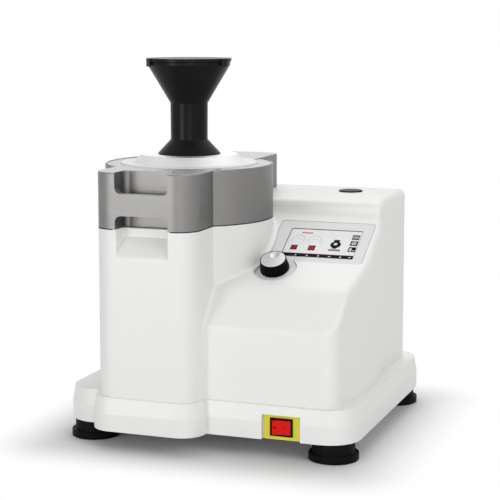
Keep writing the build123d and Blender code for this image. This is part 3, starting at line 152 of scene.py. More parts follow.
floor_material, floor_tree, floor_shader = node_material("floor_white")
floor_shader.inputs["Roughness"].default_value = floor_roughness
floor_shader.inputs["Specular IOR Level"].default_value = 0.0
floor_shader.inputs["Emission Color"].default_value = white
floor_place = floor_tree.nodes.new("ShaderNodeTexCoord").outputs["Object"]
sideways = add_node(floor_tree, "ShaderNodeVectorMath", {0: floor_place}, operation="ABSOLUTE")
beyond = add_node(floor_tree, "ShaderNodeVectorMath",
                  {0: sideways.outputs[0], 1: (footprint_half, footprint_half, 0)}, operation="SUBTRACT")
outside = add_node(floor_tree, "ShaderNodeVectorMath", {0: beyond.outputs[0], 1: (0, 0, 0)},
                   operation="MAXIMUM")
away = add_node(floor_tree, "ShaderNodeVectorMath", {0: outside.outputs[0]}, operation="LENGTH")
far = add_node(floor_tree, "ShaderNodeMapRange",
               {"Value": away.outputs["Value"], "From Min": 0.0, "From Max": shadow_reach},
               interpolation_type="SMOOTHSTEP")
# Within shadow_reach of the footprint the floor turns from grey to glowing white for seen rays; the grey
# ring left round the machine is partly painted shade, deepening its real shadow.
white_share = add_node(floor_tree, "ShaderNodeMath",
                       {0: far.outputs["Result"], 1: seen_directly(floor_tree)}, operation="MULTIPLY")
floor_tint = add_node(floor_tree, "ShaderNodeMix", {0: white_share.outputs[0], 6: floor_colour, 7: black},
                      data_type="RGBA")
floor_tree.links.new(floor_tint.outputs[2], floor_shader.inputs["Base Color"])
floor_tree.links.new(white_share.outputs[0], floor_shader.inputs["Emission Strength"])

floor_mesh = bpy.data.meshes.new("floor")
floor_corners = [(-floor_half, -floor_half, 0), (floor_half, -floor_half, 0),
                 (floor_half, floor_half, 0), (-floor_half, floor_half, 0)]
floor_mesh.from_pydata(floor_corners, [], [(0, 1, 2, 3)])
floor = linked("floor", floor_mesh, floor_material)

for lamp_name, lamp_place, lamp_width, lamp_power in lamps:
    light = bpy.data.lights.new(lamp_name, "AREA")
    light.shape = "DISK"
    light.size = lamp_width
    light.energy = lamp_power
    lamp = bpy.data.objects.new(lamp_name, light)
    lamp.location = lamp_place
    aim = np.array(lamp_target) - np.array(lamp_place)
    lamp.rotation_euler = (math.acos(-aim[2] / np.linalg.norm(aim)), 0, math.atan2(-aim[0], aim[1]))
    scene.collection.objects.link(lamp)


# Base tray
# The plinth is one white plastic moulding with a sloping skirt and a notch for the switch. Its
# skin has a very fine grain, the same as the housing's. Five screws hold it to the steel plate.
moulding_white = (0.80, 0.80, 0.787)
moulding_roughness = 0.42
moulding_fineness = 1500.0
moulding_depth = 0.006 * mm


def make_group(name, inputs, outputs):
    """A shader node group with inputs (name, kind, value) and outputs (name, kind)."""
    made = bpy.data.node_groups.new(name, "ShaderNodeTree")
    for label, kind, value in inputs:
        made.interface.new_socket(label, in_out="INPUT", socket_type=kind).default_value = value
    for label, kind in outputs:
        made.interface.new_socket(label, in_out="OUTPUT", socket_type=kind)
    return made, made.nodes.new("NodeGroupInput").outputs, made.nodes.new("NodeGroupOutput").inputs


# Fine grain: a close noise raises the surface by Depth, and a broad one gives Tone, its clouds.
grain, given, grain_out = make_group(
    "fine_grain",
    [("Place", "NodeSocketVector", (0, 0, 0)), ("Fineness", "NodeSocketFloat", 1500.0),
     ("Depth", "NodeSocketFloat", 0.00001), ("Clouds", "NodeSocketFloat", 30.0)],
    [("Tone", "NodeSocketFloat"), ("Normal", "NodeSocketVector")])
close = add_node(grain, "ShaderNodeTexNoise", {"Vector": given["Place"], "Scale": given["Fineness"],
                                               "Detail": 2.0, "Roughness": 0.6})
broad = add_node(grain, "ShaderNodeTexNoise", {"Vector": given["Place"], "Scale": given["Clouds"],
                                               "Detail": 3.0, "Roughness": 0.5})
raised = add_node(grain, "ShaderNodeBump", {"Height": close.outputs[0], "Distance": given["Depth"],
                                            "Strength": 1.0})
grain.links.new(broad.outputs[0], grain_out["Tone"])
grain.links.new(raised.outputs["Normal"], grain_out["Normal"])


def tinted(tree, shader, mask, colour, spread):
    """Feeds Base Color with the colour made darker or lighter by the spread as the mask runs 0 to 1."""
    dark = tuple(value * (1 - spread) for value in colour) + (1,)
    light = tuple(min(1.0, value * (1 + spread)) for value in colour) + (1,)
    mix = add_node(tree, "ShaderNodeMix", {0: mask, 6: dark, 7: light}, data_type="RGBA")
    tree.links.new(mix.outputs[2], shader.inputs["Base Color"])


def varied(tree, shader, mask, roughness, spread):
    """Feeds Roughness with the value plus or minus the spread as the mask runs 0 to 1."""
    reach = add_node(tree, "ShaderNodeMapRange", {"Value": mask, "To Min": roughness - spread,
                                                  "To Max": roughness + spread})
    tree.links.new(reach.outputs["Result"], shader.inputs["Roughness"])


def skinned(tree, shader, skin, colour, roughness, colour_spread, roughness_spread):
    """Lays a skin over the shader: its Tone varies colour and roughness, its Normal raises it."""
    tinted(tree, shader, skin.outputs["Tone"], colour, colour_spread)
    varied(tree, shader, skin.outputs["Tone"], roughness, roughness_spread)
    tree.links.new(skin.outputs["Normal"], shader.inputs["Normal"])


def grained(name, colour, roughness, fineness, depth, spread=0.02, clouds=30.0, metallic=0.0, specular=0.5):
    """A finish with fine grain: colour and roughness drift a little over the grain's clouds."""
    made, tree, shader = node_material(name)
    shader.inputs["Metallic"].default_value = metallic
    shader.inputs["Specular IOR Level"].default_value = specular
    place = tree.nodes.new("ShaderNodeTexCoord").outputs["Object"]
    skin = add_node(tree, "ShaderNodeGroup", node_tree=grain)
    tree.links.new(place, skin.inputs["Place"])
    skin.inputs["Fineness"].default_value = fineness
    skin.inputs["Depth"].default_value = depth
    skin.inputs["Clouds"].default_value = clouds
    skinned(tree, shader, skin, colour, roughness, spread, 2 * spread)
    return made


def dress(material, *names):
    """Gives CAD nodes their finish."""
    for name in names:
        nodes[name].data.materials.clear()
        nodes[name].data.materials.append(material)


white_moulding = grained("white_moulding", moulding_white, roughness=moulding_roughness,
                         fineness=moulding_fineness, depth=moulding_depth, spread=0.008, clouds=12.0)
dress(white_moulding, "base_tray")


# Feet
# Four turned feet of black rubber: a wide tread with a raised rim, and a neck up to the tray.
# Each is bolted through its middle to the steel plate.
tread_radius = 34.5 * mm
tread_height = 10.0 * mm
neck_radius = 29.3 * mm
rim_width = 1.8 * mm
rim_rise = 1.0 * mm
bolt_bore = 4.1 * mm
bolt_pocket = 9.0 * mm
bolt_pocket_depth = 9.5 * mm
foot_rounds = np.array([0, 0, 0.6, 1.6, 0.7, 0.3, 0.3, 0.6, 0.5, 0]) * mm
rubber_black = (0.0045, 0.0045, 0.0048)
merge_distance = 1e-6


def swung(start, end, angle, share):
    """Points on the arc from start to end, both measured from its centre and that angle apart:
    start sin((1 - share) angle) / sin(angle) + end sin(share angle) / sin(angle)."""
    return (np.sin((1 - share) * angle) * start + np.sin(share * angle) * end) / np.sin(angle)


def rounded(corners, radii, steps=6):
    """The closed outline with its corners turned into arcs. An arc touches both sides at
    radius / tan(half the corner's angle), and its points are even steps round its centre."""
    corners = np.asarray(corners, float)
    share = np.linspace(0, 1, steps)[:, None]
    parts = []
    for place, last, following, radius in zip(corners, np.roll(corners, 1, axis=0),
                                              np.roll(corners, -1, axis=0), radii):
        if radius == 0:
            parts.append(place[None])
            continue
        back = (last - place) / np.linalg.norm(last - place)
        ahead = (following - place) / np.linalg.norm(following - place)
        half = math.acos(np.clip(back @ ahead, -1, 1)) / 2
        reach = radius / math.tan(half)
        centre = place + (back + ahead) / np.linalg.norm(back + ahead) * radius / math.sin(half)
        start = place + back * reach - centre
        end = place + ahead * reach - centre
        parts.append(centre + swung(start, end, math.pi - 2 * half, share))
    return np.concatenate(parts)


def finish_mesh(name, mesh, material, crease=40):
    """Merges doubles, turns the faces outwards, smooths all but sharp edges, and makes the object."""
    work = bmesh.new()
    work.from_mesh(mesh)
    bmesh.ops.remove_doubles(work, verts=work.verts, dist=merge_distance)
    ends = [edge for edge in work.edges if edge.is_boundary]
    bmesh.ops.holes_fill(work, edges=ends, sides=0)
    bmesh.ops.recalc_face_normals(work, faces=work.faces)
    work.to_mesh(mesh)
    work.free()
    mesh.shade_smooth()
    mesh.set_sharp_from_angle(angle=math.radians(crease))
    return linked(name, mesh, material)


def grid_piece(name, points, material, across=True, crease=40):
    """A piece from a grid of points, closed round its columns and, where across is true, its rows."""
    rows, columns = points.shape[:2]
    index = np.arange(rows * columns).reshape(rows, columns)
    index = np.hstack([index, index[:, :1]])
    if across:
        index = np.vstack([index, index[:1]])
    faces = np.stack([index[:-1, :-1], index[1:, :-1], index[1:, 1:], index[:-1, 1:]], axis=-1)
    mesh = bpy.data.meshes.new(name)
    mesh.from_pydata(points.reshape(-1, 3).tolist(), [], faces.reshape(-1, 4).tolist())
    return finish_mesh(name, mesh, material, crease)


def turned(name, outline, centre, material, segments=144):
    """A closed ring turned about a vertical axis: outline point (r, z) at turn t lies at
    (r cos t, r sin t, z) from the centre."""
    turn = np.linspace(0, 2 * np.pi, segments, endpoint=False)[:, None]
    radius, height = outline[:, 0], outline[:, 1]
    points = np.stack([radius * np.cos(turn), radius * np.sin(turn), height + 0 * turn], axis=-1)
    return grid_piece(name, points + np.asarray(centre), material)


foot_rubber = grained("foot_rubber", rubber_black, roughness=0.50, fineness=900.0, depth=0.02 * mm,
                      spread=0.06, clouds=60.0, specular=0.06)
rim_radius = tread_radius - rim_width
rim_foot = tread_height - rim_rise
for foot_name in ("front_left_foot", "front_right_foot", "rear_left_foot", "rear_right_foot"):
    low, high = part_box(foot_name)
    foot_corners = [
        (bolt_bore, bolt_pocket_depth), (bolt_pocket, bolt_pocket_depth), (bolt_pocket, 0),
        (tread_radius, 0), (tread_radius, tread_height), (rim_radius, tread_height),
        (rim_radius - rim_rise, rim_foot), (neck_radius, rim_foot), (neck_radius, high.z),
        (bolt_bore, high.z)]
    foot_middle = ((low.x + high.x) / 2, (low.y + high.y) / 2, 0)
    foot = turned(foot_name.replace("_foot", "_turned_foot"), rounded(foot_corners, foot_rounds),
                  foot_middle, foot_rubber)
    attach(foot, "housing")
    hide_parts(foot_name)


# Base plate and its fasteners
# A zinc-plated steel plate in the tray carries the motor and the grinding chamber. Bolts, nuts
# and screws are plated too, with the faint cloudy look of zinc.
zinc = grained("zinc_plating", (0.60, 0.61, 0.62), roughness=0.38, fineness=700.0, depth=0.01 * mm,
               spread=0.05, clouds=140.0, metallic=1.0)
dress(zinc, "base_plate", "foot_bolts", "foot_nuts", "tray_screws", "housing_screws",
      "rear_panel_screws", "lid_screws", "encoder_body", "hinge_brackets")


# Switch plate
# A yellow sheet sits behind the power switch. It is fluted upright on both sides of the switch,
# as pressed sheet is, and held by the switch frame.
plate_yellow = (0.74, 0.69, 0.055)
plate_roughness = 0.42
plate_specular = 0.2
flute_shade_spread = 0.05
flute_pitch = 4.6 * mm
flute_depth = 0.08 * mm
bands_per_metre = 3.18

switch_plate, plate_tree, plate_shader = node_material("yellow_sheet")
plate_shader.inputs["Roughness"].default_value = plate_roughness
plate_shader.inputs["Specular IOR Level"].default_value = plate_specular
plate_place = plate_tree.nodes.new("ShaderNodeTexCoord").outputs["Object"]

# At a scale of one the wave repeats that many times in a metre, so the scale gives one in a pitch.
flutes = add_node(plate_tree, "ShaderNodeTexWave",
                  {"Vector": plate_place, "Scale": 1 / flute_pitch / bands_per_metre, "Distortion": 0.0},
                  bands_direction="X")
plate_bump = add_node(plate_tree, "ShaderNodeBump",
                      {"Height": flutes.outputs["Fac"], "Distance": flute_depth})
plate_tree.links.new(plate_bump.outputs["Normal"], plate_shader.inputs["Normal"])
# Painted shade: the yellow is darker in the flutes' hollows and lighter on their crests.
tinted(plate_tree, plate_shader, flutes.outputs["Fac"], plate_yellow, flute_shade_spread)
dress(switch_plate, "switch_plate")


# Switch frame and rocker
# The power switch is a snap-in rocker switch: a glossy black frame round a red rocker with a
# ring for off and a bar for on, printed dark. It lies on its side, so the rocker tips left and right.
off_ring_place = (104.8 * mm, 45.0 * mm)
on_bar_place = (118.5 * mm, 44.6 * mm)
off_ring_radius = 1.7 * mm
mark_width = 0.95 * mm
on_bar_length = 2.8 * mm
print_lift = 0.04 * mm
faces_front = -0.8
gloss_black = grained("gloss_black", (0.003, 0.003, 0.003), roughness=0.22, fineness=300.0,
                      depth=0.003 * mm, spread=0.05, specular=0.06)
rocker_red = grained("rocker_red", (0.66, 0.010, 0.006), roughness=0.30, fineness=300.0,
                     depth=0.003 * mm, spread=0.03, clouds=80.0, specular=0.1)
print_dark = grained("dark_print", (0.006, 0.001, 0.001), roughness=0.5, fineness=300.0,
                     depth=0.002 * mm, specular=0.02)
dress(gloss_black, "switch_frame")
dress(rocker_red, "power_rocker")


def node_faces(name):
    """Centres and normals of a CAD node's faces, as arrays."""
    faces = nodes[name].data.polygons
    centres, normals = np.zeros(3 * len(faces)), np.zeros(3 * len(faces))
    faces.foreach_get("center", centres)
    faces.foreach_get("normal", normals)
    return centres.reshape(-1, 3), normals.reshape(-1, 3)


def flat_marks(name, outlines, placed, material):
    """Flat shapes on a surface: each outline of (across, up) points is one face, put in place."""
    points = np.concatenate([placed(np.asarray(outline, float)) for outline in outlines])
    ends = np.cumsum([len(outline) for outline in outlines])
    faces = [list(range(end - len(outline), end)) for outline, end in zip(outlines, ends)]
    mesh = bpy.data.meshes.new(name)
    mesh.from_pydata(points.tolist(), [], faces)
    return linked(name, mesh, material)


def ring_outline(centre, outer, inner, start=0.0, sweep=360.0, steps=40):
    """A flat ring or arc of a ring as one outline: the outer arc, then the inner arc back."""
    turn = np.radians(start + np.linspace(0, sweep, steps))
    arc = np.stack([np.cos(turn), np.sin(turn)], axis=-1)
    return np.concatenate([centre + outer * arc, (centre + inner * arc)[::-1]])


def bar_outline(centre, width, height):
    """A flat upright bar, its corners half a width and half a height from the centre."""
    half = np.array([width, height]) / 2
    return np.asarray(centre) + half * np.array([(-1, -1), (1, -1), (1, 1), (-1, 1)])


def on_rocker(points):
    """Places (x, z) points on the front face of the rocker nearest to them, just proud of it."""
    centres, normals = node_faces("power_rocker")
    front = np.flatnonzero(normals[:, 1] < faces_front)
    middle = points.mean(axis=0)
    nearest = front[np.argmin(np.linalg.norm(centres[front][:, [0, 2]] - middle, axis=1))]
    centre, normal = centres[nearest], normals[nearest]
    offset = points - centre[[0, 2]]
    y = centre[1] - (offset @ normal[[0, 2]]) / normal[1]
    return np.stack([points[:, 0], y, points[:, 1]], axis=-1) + normal * print_lift


off_ring = ring_outline(off_ring_place, off_ring_radius, off_ring_radius - mark_width)
on_bar = bar_outline(on_bar_place, on_bar_length, mark_width)
for mark_name, outline in (("off_mark", off_ring), ("on_mark", on_bar)):
    mark = flat_marks(mark_name, [outline], on_rocker, print_dark)
    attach(mark, "rocker")


# Housing shell
# Column, rear body and sloping console are one white plastic moulding with the tray's fine
# grain. Five screws from below hold it down.
dress(white_moulding, "housing_shell")


# Column fillet
# Where the column rises out of the console, the moulding is rounded inside, down the console's
# front too. The strip is part of the housing and lies in the corner between the two.
fillet_radius = 6.0 * mm
fillet_sink = 0.4 * mm
fillet_top = 303.0 * mm
fillet_step = 2.0 * mm
axis_x, axis_y = -76.5 * mm, -36.1 * mm
column_radius = 121.5 * mm
lobe_side_x = -2.1 * mm

# The console's side line in (y, z): its front, the shoulder, the slope's foot and the deck's edge.
console_side = np.array([(-171.7, 73.5), (-171.7, 175.4), (-129.0, 225.0), (-57.7, 254.53),
                         (37.3, 309.38), (37.3, 73.5)]) * mm
console_rounds = np.array([0, 10.0, 30.0, 60.0, 12.0, 0]) * mm


def even_steps(line, step):
    """The open line resampled at even distances along it."""
    along = np.concatenate([[0], np.cumsum(np.linalg.norm(np.diff(line, axis=0), axis=1))])
    wanted = np.linspace(0, along[-1], int(along[-1] / step) + 2)
    return np.stack([np.interp(wanted, along, line[:, 0]), np.interp(wanted, along, line[:, 1])], axis=-1)


def fillet_strip(corner_steps=12, arc_steps=9):
    """A ball rolled along the corner. Its centre lies one radius off the console's side line and
    one radius off the column and lobe; the strip is the arc between the two touching points."""
    line = rounded(console_side, console_rounds, corner_steps)[:-1]
    line = even_steps(line[line[:, 1] <= fillet_top], fillet_step)
    along = np.gradient(line, axis=0)
    along /= np.linalg.norm(along, axis=1)[:, None]
    out = np.stack([-along[:, 1], along[:, 0]], axis=-1)
    middle_y, middle_z = (line + fillet_radius * out).T
    span = (column_radius + fillet_radius) ** 2 - (middle_y - axis_y) ** 2
    round_x = axis_x + np.sqrt(np.maximum(span, 0))
    flat_x = lobe_side_x + fillet_radius
    middle_x = np.maximum(round_x, flat_x)
    middle = np.stack([middle_x, middle_y, middle_z], axis=-1)
    to_axis = np.stack([axis_x - middle_x, axis_y - middle_y, 0 * middle_x], axis=-1)
    to_axis /= np.linalg.norm(to_axis, axis=1)[:, None]
    to_column = np.where((round_x > flat_x)[:, None], to_axis, np.array([-1.0, 0, 0]))
    to_slope = np.stack([0 * middle_x, -out[:, 0], -out[:, 1]], axis=-1)
    angle = np.arccos(np.clip((to_column * to_slope).sum(axis=1), -1, 1))[:, None, None]
    share = np.linspace(0, 1, arc_steps)[None, :, None]
    arc = swung(to_column[:, None], to_slope[:, None], angle, share)
    points = middle[:, None] + fillet_radius * arc
    corner = middle + (fillet_radius + fillet_sink) * (to_column + to_slope) / (1 + np.cos(angle[:, 0]))
    first = points[:, :1] + fillet_sink * to_column[:, None]
    last = points[:, -1:] + fillet_sink * to_slope[:, None]
    return np.concatenate([first, points, last, corner[:, None]], axis=1)


column_fillet = grid_piece("column_fillet", fillet_strip(), white_moulding, across=False, crease=60)
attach(column_fillet, "housing")


# Lid shadow strip
# A thin strip of black rubber lies round the column's top edge: painted shade, standing for the
# dark shadow line under the lid. It stops at both sides of the finger scoop.
shadow_strip_proud = 0.12 * mm
shadow_strip_width = 3.0 * mm
shadow_strip_low, shadow_strip_high = 306.7 * mm, 308.12 * mm
lobe_half, lobe_reach, lobe_corner = 74.4 * mm, 173.2 * mm, 30.0 * mm
scoop_half = 42.5 * mm
# The seals' black rubber, used here also for the painted shade strip under the lid.
seal_rubber = grained("seal_rubber", (0.010, 0.010, 0.011), roughness=0.65, fineness=1200.0,
                      depth=0.015 * mm, spread=0.06, specular=0.1)


def shadow_strip_line(inset, bend_steps=12, steps=120):
    """The column's outline moved in, from one side of the scoop round the back to the other: half
    the lobe's front, its round corner and side, and the circle's arc up to the middle plane, then
    the same mirrored."""
    half, reach, corner = lobe_half - inset, lobe_reach - inset, lobe_corner - inset
    radius = column_radius - inset
    turn = np.linspace(-np.pi / 2, 0, bend_steps)
    bend_x = half - corner + corner * np.cos(turn)
    bend_y = -reach + corner + corner * np.sin(turn)
    meet = math.atan2(-math.sqrt(radius ** 2 - half ** 2), half)
    sweep = np.linspace(meet, np.pi / 2, steps)
    arc = radius * np.stack([np.cos(sweep), np.sin(sweep)], axis=-1)
    right = np.concatenate([[(scoop_half, -reach)], np.stack([bend_x, bend_y], axis=-1), arc])
    return np.concatenate([right, (right * (-1, 1))[::-1][1:]])


outer_line, inner_line = shadow_strip_line(-shadow_strip_proud), shadow_strip_line(shadow_strip_width)
shadow_strip_section = [(outer_line, shadow_strip_low), (outer_line, shadow_strip_high),
                 (inner_line, shadow_strip_high), (inner_line, shadow_strip_low)]
shadow_strip_points = np.stack([np.column_stack([line + (axis_x, axis_y), np.full(len(line), level)])
                         for line, level in shadow_strip_section], axis=1)
# Painted shade: a black strip where the shadow line under the lid falls.
lid_shadow_strip = grid_piece("lid_shadow_strip", shadow_strip_points, seal_rubber, across=False)
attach(lid_shadow_strip, "housing")


# Front foil
# A matt light grey film lies in the shallow recess of the slope, with a round part for the knob.
# It is glued down. A thin dark grey line along its edge is painted shade of the recess's edge.
shade_line_width = 0.55 * mm
shade_line_lift = 0.03 * mm
slope_angle = math.radians(30)
foil_print = grained("panel_foil", (0.74, 0.732, 0.732), roughness=0.5, fineness=2500.0,
                     depth=0.004 * mm, spread=0.01, specular=0.15)
painted_edge_shade = grained("panel_edge_shade_grey", (0.27, 0.27, 0.27), roughness=0.5, fineness=2500.0,
                    depth=0.004 * mm, spread=0.01, specular=0.15)
dress(foil_print, "front_foil")


def shade_rim(name, node, out, material, faces_out=0.99, flat_angle=0.01):
    """A line of painted shade along a flat node's edges: its faces that look out, inset by the line's
    width, with only the inset's border kept, and lifted a little."""
    work = bmesh.new()
    work.from_mesh(nodes[node].data)
    bmesh.ops.remove_doubles(work, verts=work.verts, dist=merge_distance)
    hidden = [face for face in work.faces if face.normal @ out < faces_out]
    bmesh.ops.delete(work, geom=hidden, context="FACES")
    bmesh.ops.dissolve_limit(work, angle_limit=flat_angle, verts=work.verts, edges=work.edges)
    middle = list(work.faces)
    bmesh.ops.inset_region(work, faces=middle, thickness=shade_line_width, use_boundary=True,
                           use_even_offset=True)
    bmesh.ops.delete(work, geom=middle, context="FACES")
    bmesh.ops.translate(work, verts=work.verts, vec=out * shade_line_lift)
    mesh = bpy.data.meshes.new(name)
    work.to_mesh(mesh)
    work.free()
    return linked(name, mesh, material)


off_slope = np.array([0, -math.sin(slope_angle), math.cos(slope_angle)])
# Painted shade: a dark grey line round the foil, for the shadow at the recess's edge.
panel_shade_line = shade_rim("panel_shade_line", "front_foil", Vector(off_slope), painted_edge_shade)
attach(panel_shade_line, "housing")


# Display
# A touch screen under glass, lit white, with a plain running picture: two dials, two red keys,
# a jar, three keys at the side and a dark bar with six signs. The picture lies just on the glass.
slope_foot = np.array([0, *console_side[3]])
up_slope = np.array([0, math.cos(slope_angle), math.sin(slope_angle)])
screen_left, screen_low = 68.0 * mm, 8.0 * mm
screen_size = np.array([106.0, 63.7]) * mm
layer_step = 0.03 * mm
hair_line = 0.3 * mm
screen_corners = np.array([corner.co for corner in nodes["display_glass"].data.vertices])
screen_face = ((screen_corners - slope_foot) @ off_slope).max()

screen_white = grained("screen_white", (0.78, 0.785, 0.79), roughness=0.15, fineness=200.0,
                       depth=0.001 * mm, spread=0.004, specular=0.1)
dress(screen_white, "display_glass")


def on_screen(layer):
    """Returns a function that places (across, up) points, in metres from the screen's low left
    corner, on the glass, lifted by that many layers."""
    def placed(points):
        lift = screen_face + layer * layer_step
        across, up = points.T
        return (slope_foot + lift * off_slope + np.outer(up + screen_low, up_slope)
                + np.outer(across + screen_left, (1, 0, 0)))
    return placed


def field(left, low, right, high):
    """A rectangle given in shares of the screen: its corners are the shares times the screen's size."""
    corners = np.array([(left, low), (right, low), (right, high), (left, high)])
    return corners * screen_size


def spot(across, up):
    """A point given in shares of the screen."""
    return np.array([across, up]) * screen_size


def frame_lines(left, low, right, high):
    """The four thin bars of a rectangle's outline, each a hair line wide, in shares of the screen."""
    x, y = hair_line / screen_size
    return [field(left, low, right, low + y), field(left, high - y, right, high),
            field(left, low, left + x, high), field(right - x, low, right, high)]


def disc(centre, radius, steps=32):
    """A flat disc: points at even turns t, at the centre plus radius (cos t, sin t)."""
    turn = np.linspace(0, 2 * np.pi, steps, endpoint=False)
    return centre + radius * np.stack([np.cos(turn), np.sin(turn)], axis=-1)


# The dials: two open rings with five short bars in each, and the faint frames round them.
dial_centres = [spot(0.150, 0.610), spot(0.384, 0.612)]
dial_radius = 9.5 * mm
dial_line = 0.7 * mm
dial_start, dial_sweep = -35.0, 258.0
reading_pitch, reading_rise = 2.0 * mm, 1.6 * mm
reading_width, reading_height = 1.4 * mm, 1.3 * mm
faint_frame_shares = ((0.030, 0.430, 0.246, 0.790), (0.272, 0.430, 0.492, 0.790),
                      (0.520, 0.750, 0.850, 0.830))
faint_lines = [line for shares in faint_frame_shares for line in frame_lines(*shares)]
dials = [ring_outline(centre, dial_radius, dial_radius - dial_line, dial_start, dial_sweep)
         for centre in dial_centres]
reading_bars = [bar_outline(centre + np.array([step * reading_pitch, reading_rise]),
                            reading_width, reading_height)
                for centre in dial_centres for step in (-2, -1, 0, 1, 2)]

# The red keys below the dials: a disc on a dark field, with a ring on one and a bar on the other.
key_disc_radius = 4.0 * mm
key_ring_outer, key_ring_inner = 2.8 * mm, 1.4 * mm
key_bar_width, key_bar_height = 1.6 * mm, 4.4 * mm
key_fields = [field(0.092, 0.229, 0.184, 0.396), field(0.338, 0.229, 0.434, 0.405)]
key_centres = [key.mean(axis=0) for key in key_fields]
key_discs = [disc(centre, key_disc_radius) for centre in key_centres]
key_signs = [ring_outline(key_centres[0], key_ring_outer, key_ring_inner),
             bar_outline(key_centres[1], key_bar_width, key_bar_height)]

# The side keys: four level bars, a wheel, and a sheet with a short line beside it.
side_key_centres = [spot(0.938, 0.767), spot(0.942, 0.548), spot(0.945, 0.334)]
side_key_size = 10.8 * mm
level_pitch, level_width, level_height = 2.4 * mm, 1.2 * mm, 6.5 * mm
wheel_outer, wheel_inner, wheel_hub = 3.6 * mm, 2.2 * mm, 1.0 * mm
sheet_place, sheet_width, sheet_height = np.array([-2.2, -0.4]) * mm, 3.0 * mm, 6.6 * mm
sheet_line_place, sheet_line_width = np.array([2.4, -2.4]) * mm, 3.6 * mm
sheet_line_height = 1.2 * mm
side_keys = [bar_outline(centre, side_key_size, side_key_size) for centre in side_key_centres]
level_bars = [bar_outline(side_key_centres[0] + np.array([step * level_pitch, 0]), level_width,
                          level_height - abs(step) * mm)
              for step in (-1.4, -0.4, 0.6, 1.6)]
wheel_signs = [ring_outline(side_key_centres[1], wheel_outer, wheel_inner),
               disc(side_key_centres[1], wheel_hub)]
sheet_signs = [bar_outline(side_key_centres[2] + sheet_place, sheet_width, sheet_height),
               bar_outline(side_key_centres[2] + sheet_line_place, sheet_line_width, sheet_line_height)]

# The dark bar along the bottom, with a thin rule on it and six signs, discs and bars in turn.
bar_top_share, rule_top_share, sign_up_share = 0.108, 0.122, 0.05
sign_shares = (0.206, 0.364, 0.521, 0.674, 0.826, 0.955)
sign_radius = 1.3 * mm
sign_width, sign_height = 3.4 * mm, 1.3 * mm
bar_signs = [disc(spot(share, sign_up_share), sign_radius) for share in sign_shares[::2]]
bar_signs += [bar_outline(spot(share, sign_up_share), sign_width, sign_height)
              for share in sign_shares[1::2]]

# The jar: a disc with neck and foot on a stand, and a light spot on it.
jar_centre = spot(0.697, 0.475)
jar_radius, jar_steps = 7.7 * mm, 48
jar_neck_up, jar_neck_width, jar_neck_height = 8.6 * mm, 8.6 * mm, 5.2 * mm
jar_foot_down, jar_foot_width, jar_foot_height = 7.6 * mm, 6.4 * mm, 2.6 * mm
jar_spot_place, jar_spot_radius = np.array([-0.3, 1.4]) * mm, 2.7 * mm
jar_neck = bar_outline(jar_centre + np.array([0, jar_neck_up]), jar_neck_width, jar_neck_height)
jar_foot = bar_outline(jar_centre - np.array([0, jar_foot_down]), jar_foot_width, jar_foot_height)
jar_stand = field(0.628, 0.250, 0.785, 0.312)
jar_stand_top = field(0.642, 0.264, 0.771, 0.298)
jar_spot = disc(jar_centre + jar_spot_place, jar_spot_radius)

# The dark bands along the picture's top and left edges, painted shade at the glass's edge, and the red
# banner above the dials.
shade_edge_fields = [field(0, 0.975, 1, 1), field(0, 0, 0.008, 0.975)]
banner = field(0.164, 0.825, 0.324, 0.872)

# Each part of the picture has its name, its layer, its colour and its outlines.
picture = (
    ("screen_faint_lines", 1, (0.60, 0.60, 0.60), faint_lines),
    ("screen_dials", 1, (0.42, 0.42, 0.42), dials),
    # Painted shade: dark bands along the screen's top and left edges.
    ("screen_shade_edge", 1, (0.05, 0.05, 0.05), shade_edge_fields),
    ("screen_readings", 1, (0.82, 0.42, 0.38), reading_bars),
    ("screen_banner", 1, (0.85, 0.115, 0.045), [banner]),
    ("screen_rule", 1, (0.45, 0.16, 0.14), [field(0, bar_top_share, 1, rule_top_share)]),
    ("screen_dark_keys", 1, (0.006, 0.006, 0.006),
     key_fields + side_keys
     + [field(0, 0, 1, bar_top_share), disc(jar_centre, jar_radius, jar_steps), jar_neck, jar_foot,
        jar_stand]),
    ("screen_red_discs", 2, (0.55, 0.030, 0.018), key_discs),
    ("screen_jar_stand_top", 2, (0.36, 0.32, 0.24), [jar_stand_top]),
    ("screen_light_signs", 2, (0.72, 0.73, 0.73),
     level_bars + wheel_signs + sheet_signs + bar_signs + [jar_spot]),
    ("screen_key_signs", 3, (0.06, 0.012, 0.010), key_signs),
)
for part_name, layer, colour, outlines in picture:
    glow = grained(part_name, colour, roughness=0.30, fineness=200.0, depth=0.001 * mm, spread=0.01,
                   specular=0.02)
    part = flat_marks(part_name, outlines, on_screen(layer), glow)
    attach(part, "housing")


# Display case and lock case
# The display's case is a black plastic moulding, clipped in under the slope behind the glass. The
# case of the safety lock under the handle is moulded in the same plastic.
case_black = grained("case_black", (0.02, 0.02, 0.022), roughness=0.5, fineness=900.0,
                     depth=0.01 * mm, spread=0.05)
dress(case_black, "display_module", "lock_case")


# Control knob
# A black plastic grip, fluted all round, with a satin metal disc let into its face. The disc is
# turned, so fine rings run round it, and it has a dimple for a finger.
knob_silver = (0.66, 0.66, 0.665)
knob_x, knob_up = 69.0 * mm, -22.0 * mm
black_plastic = grained("black_moulding", (0.004, 0.004, 0.0042), roughness=0.38, fineness=1400.0,
                        depth=0.006 * mm, spread=0.06, specular=0.04)
dress(black_plastic, "knob_skirt")

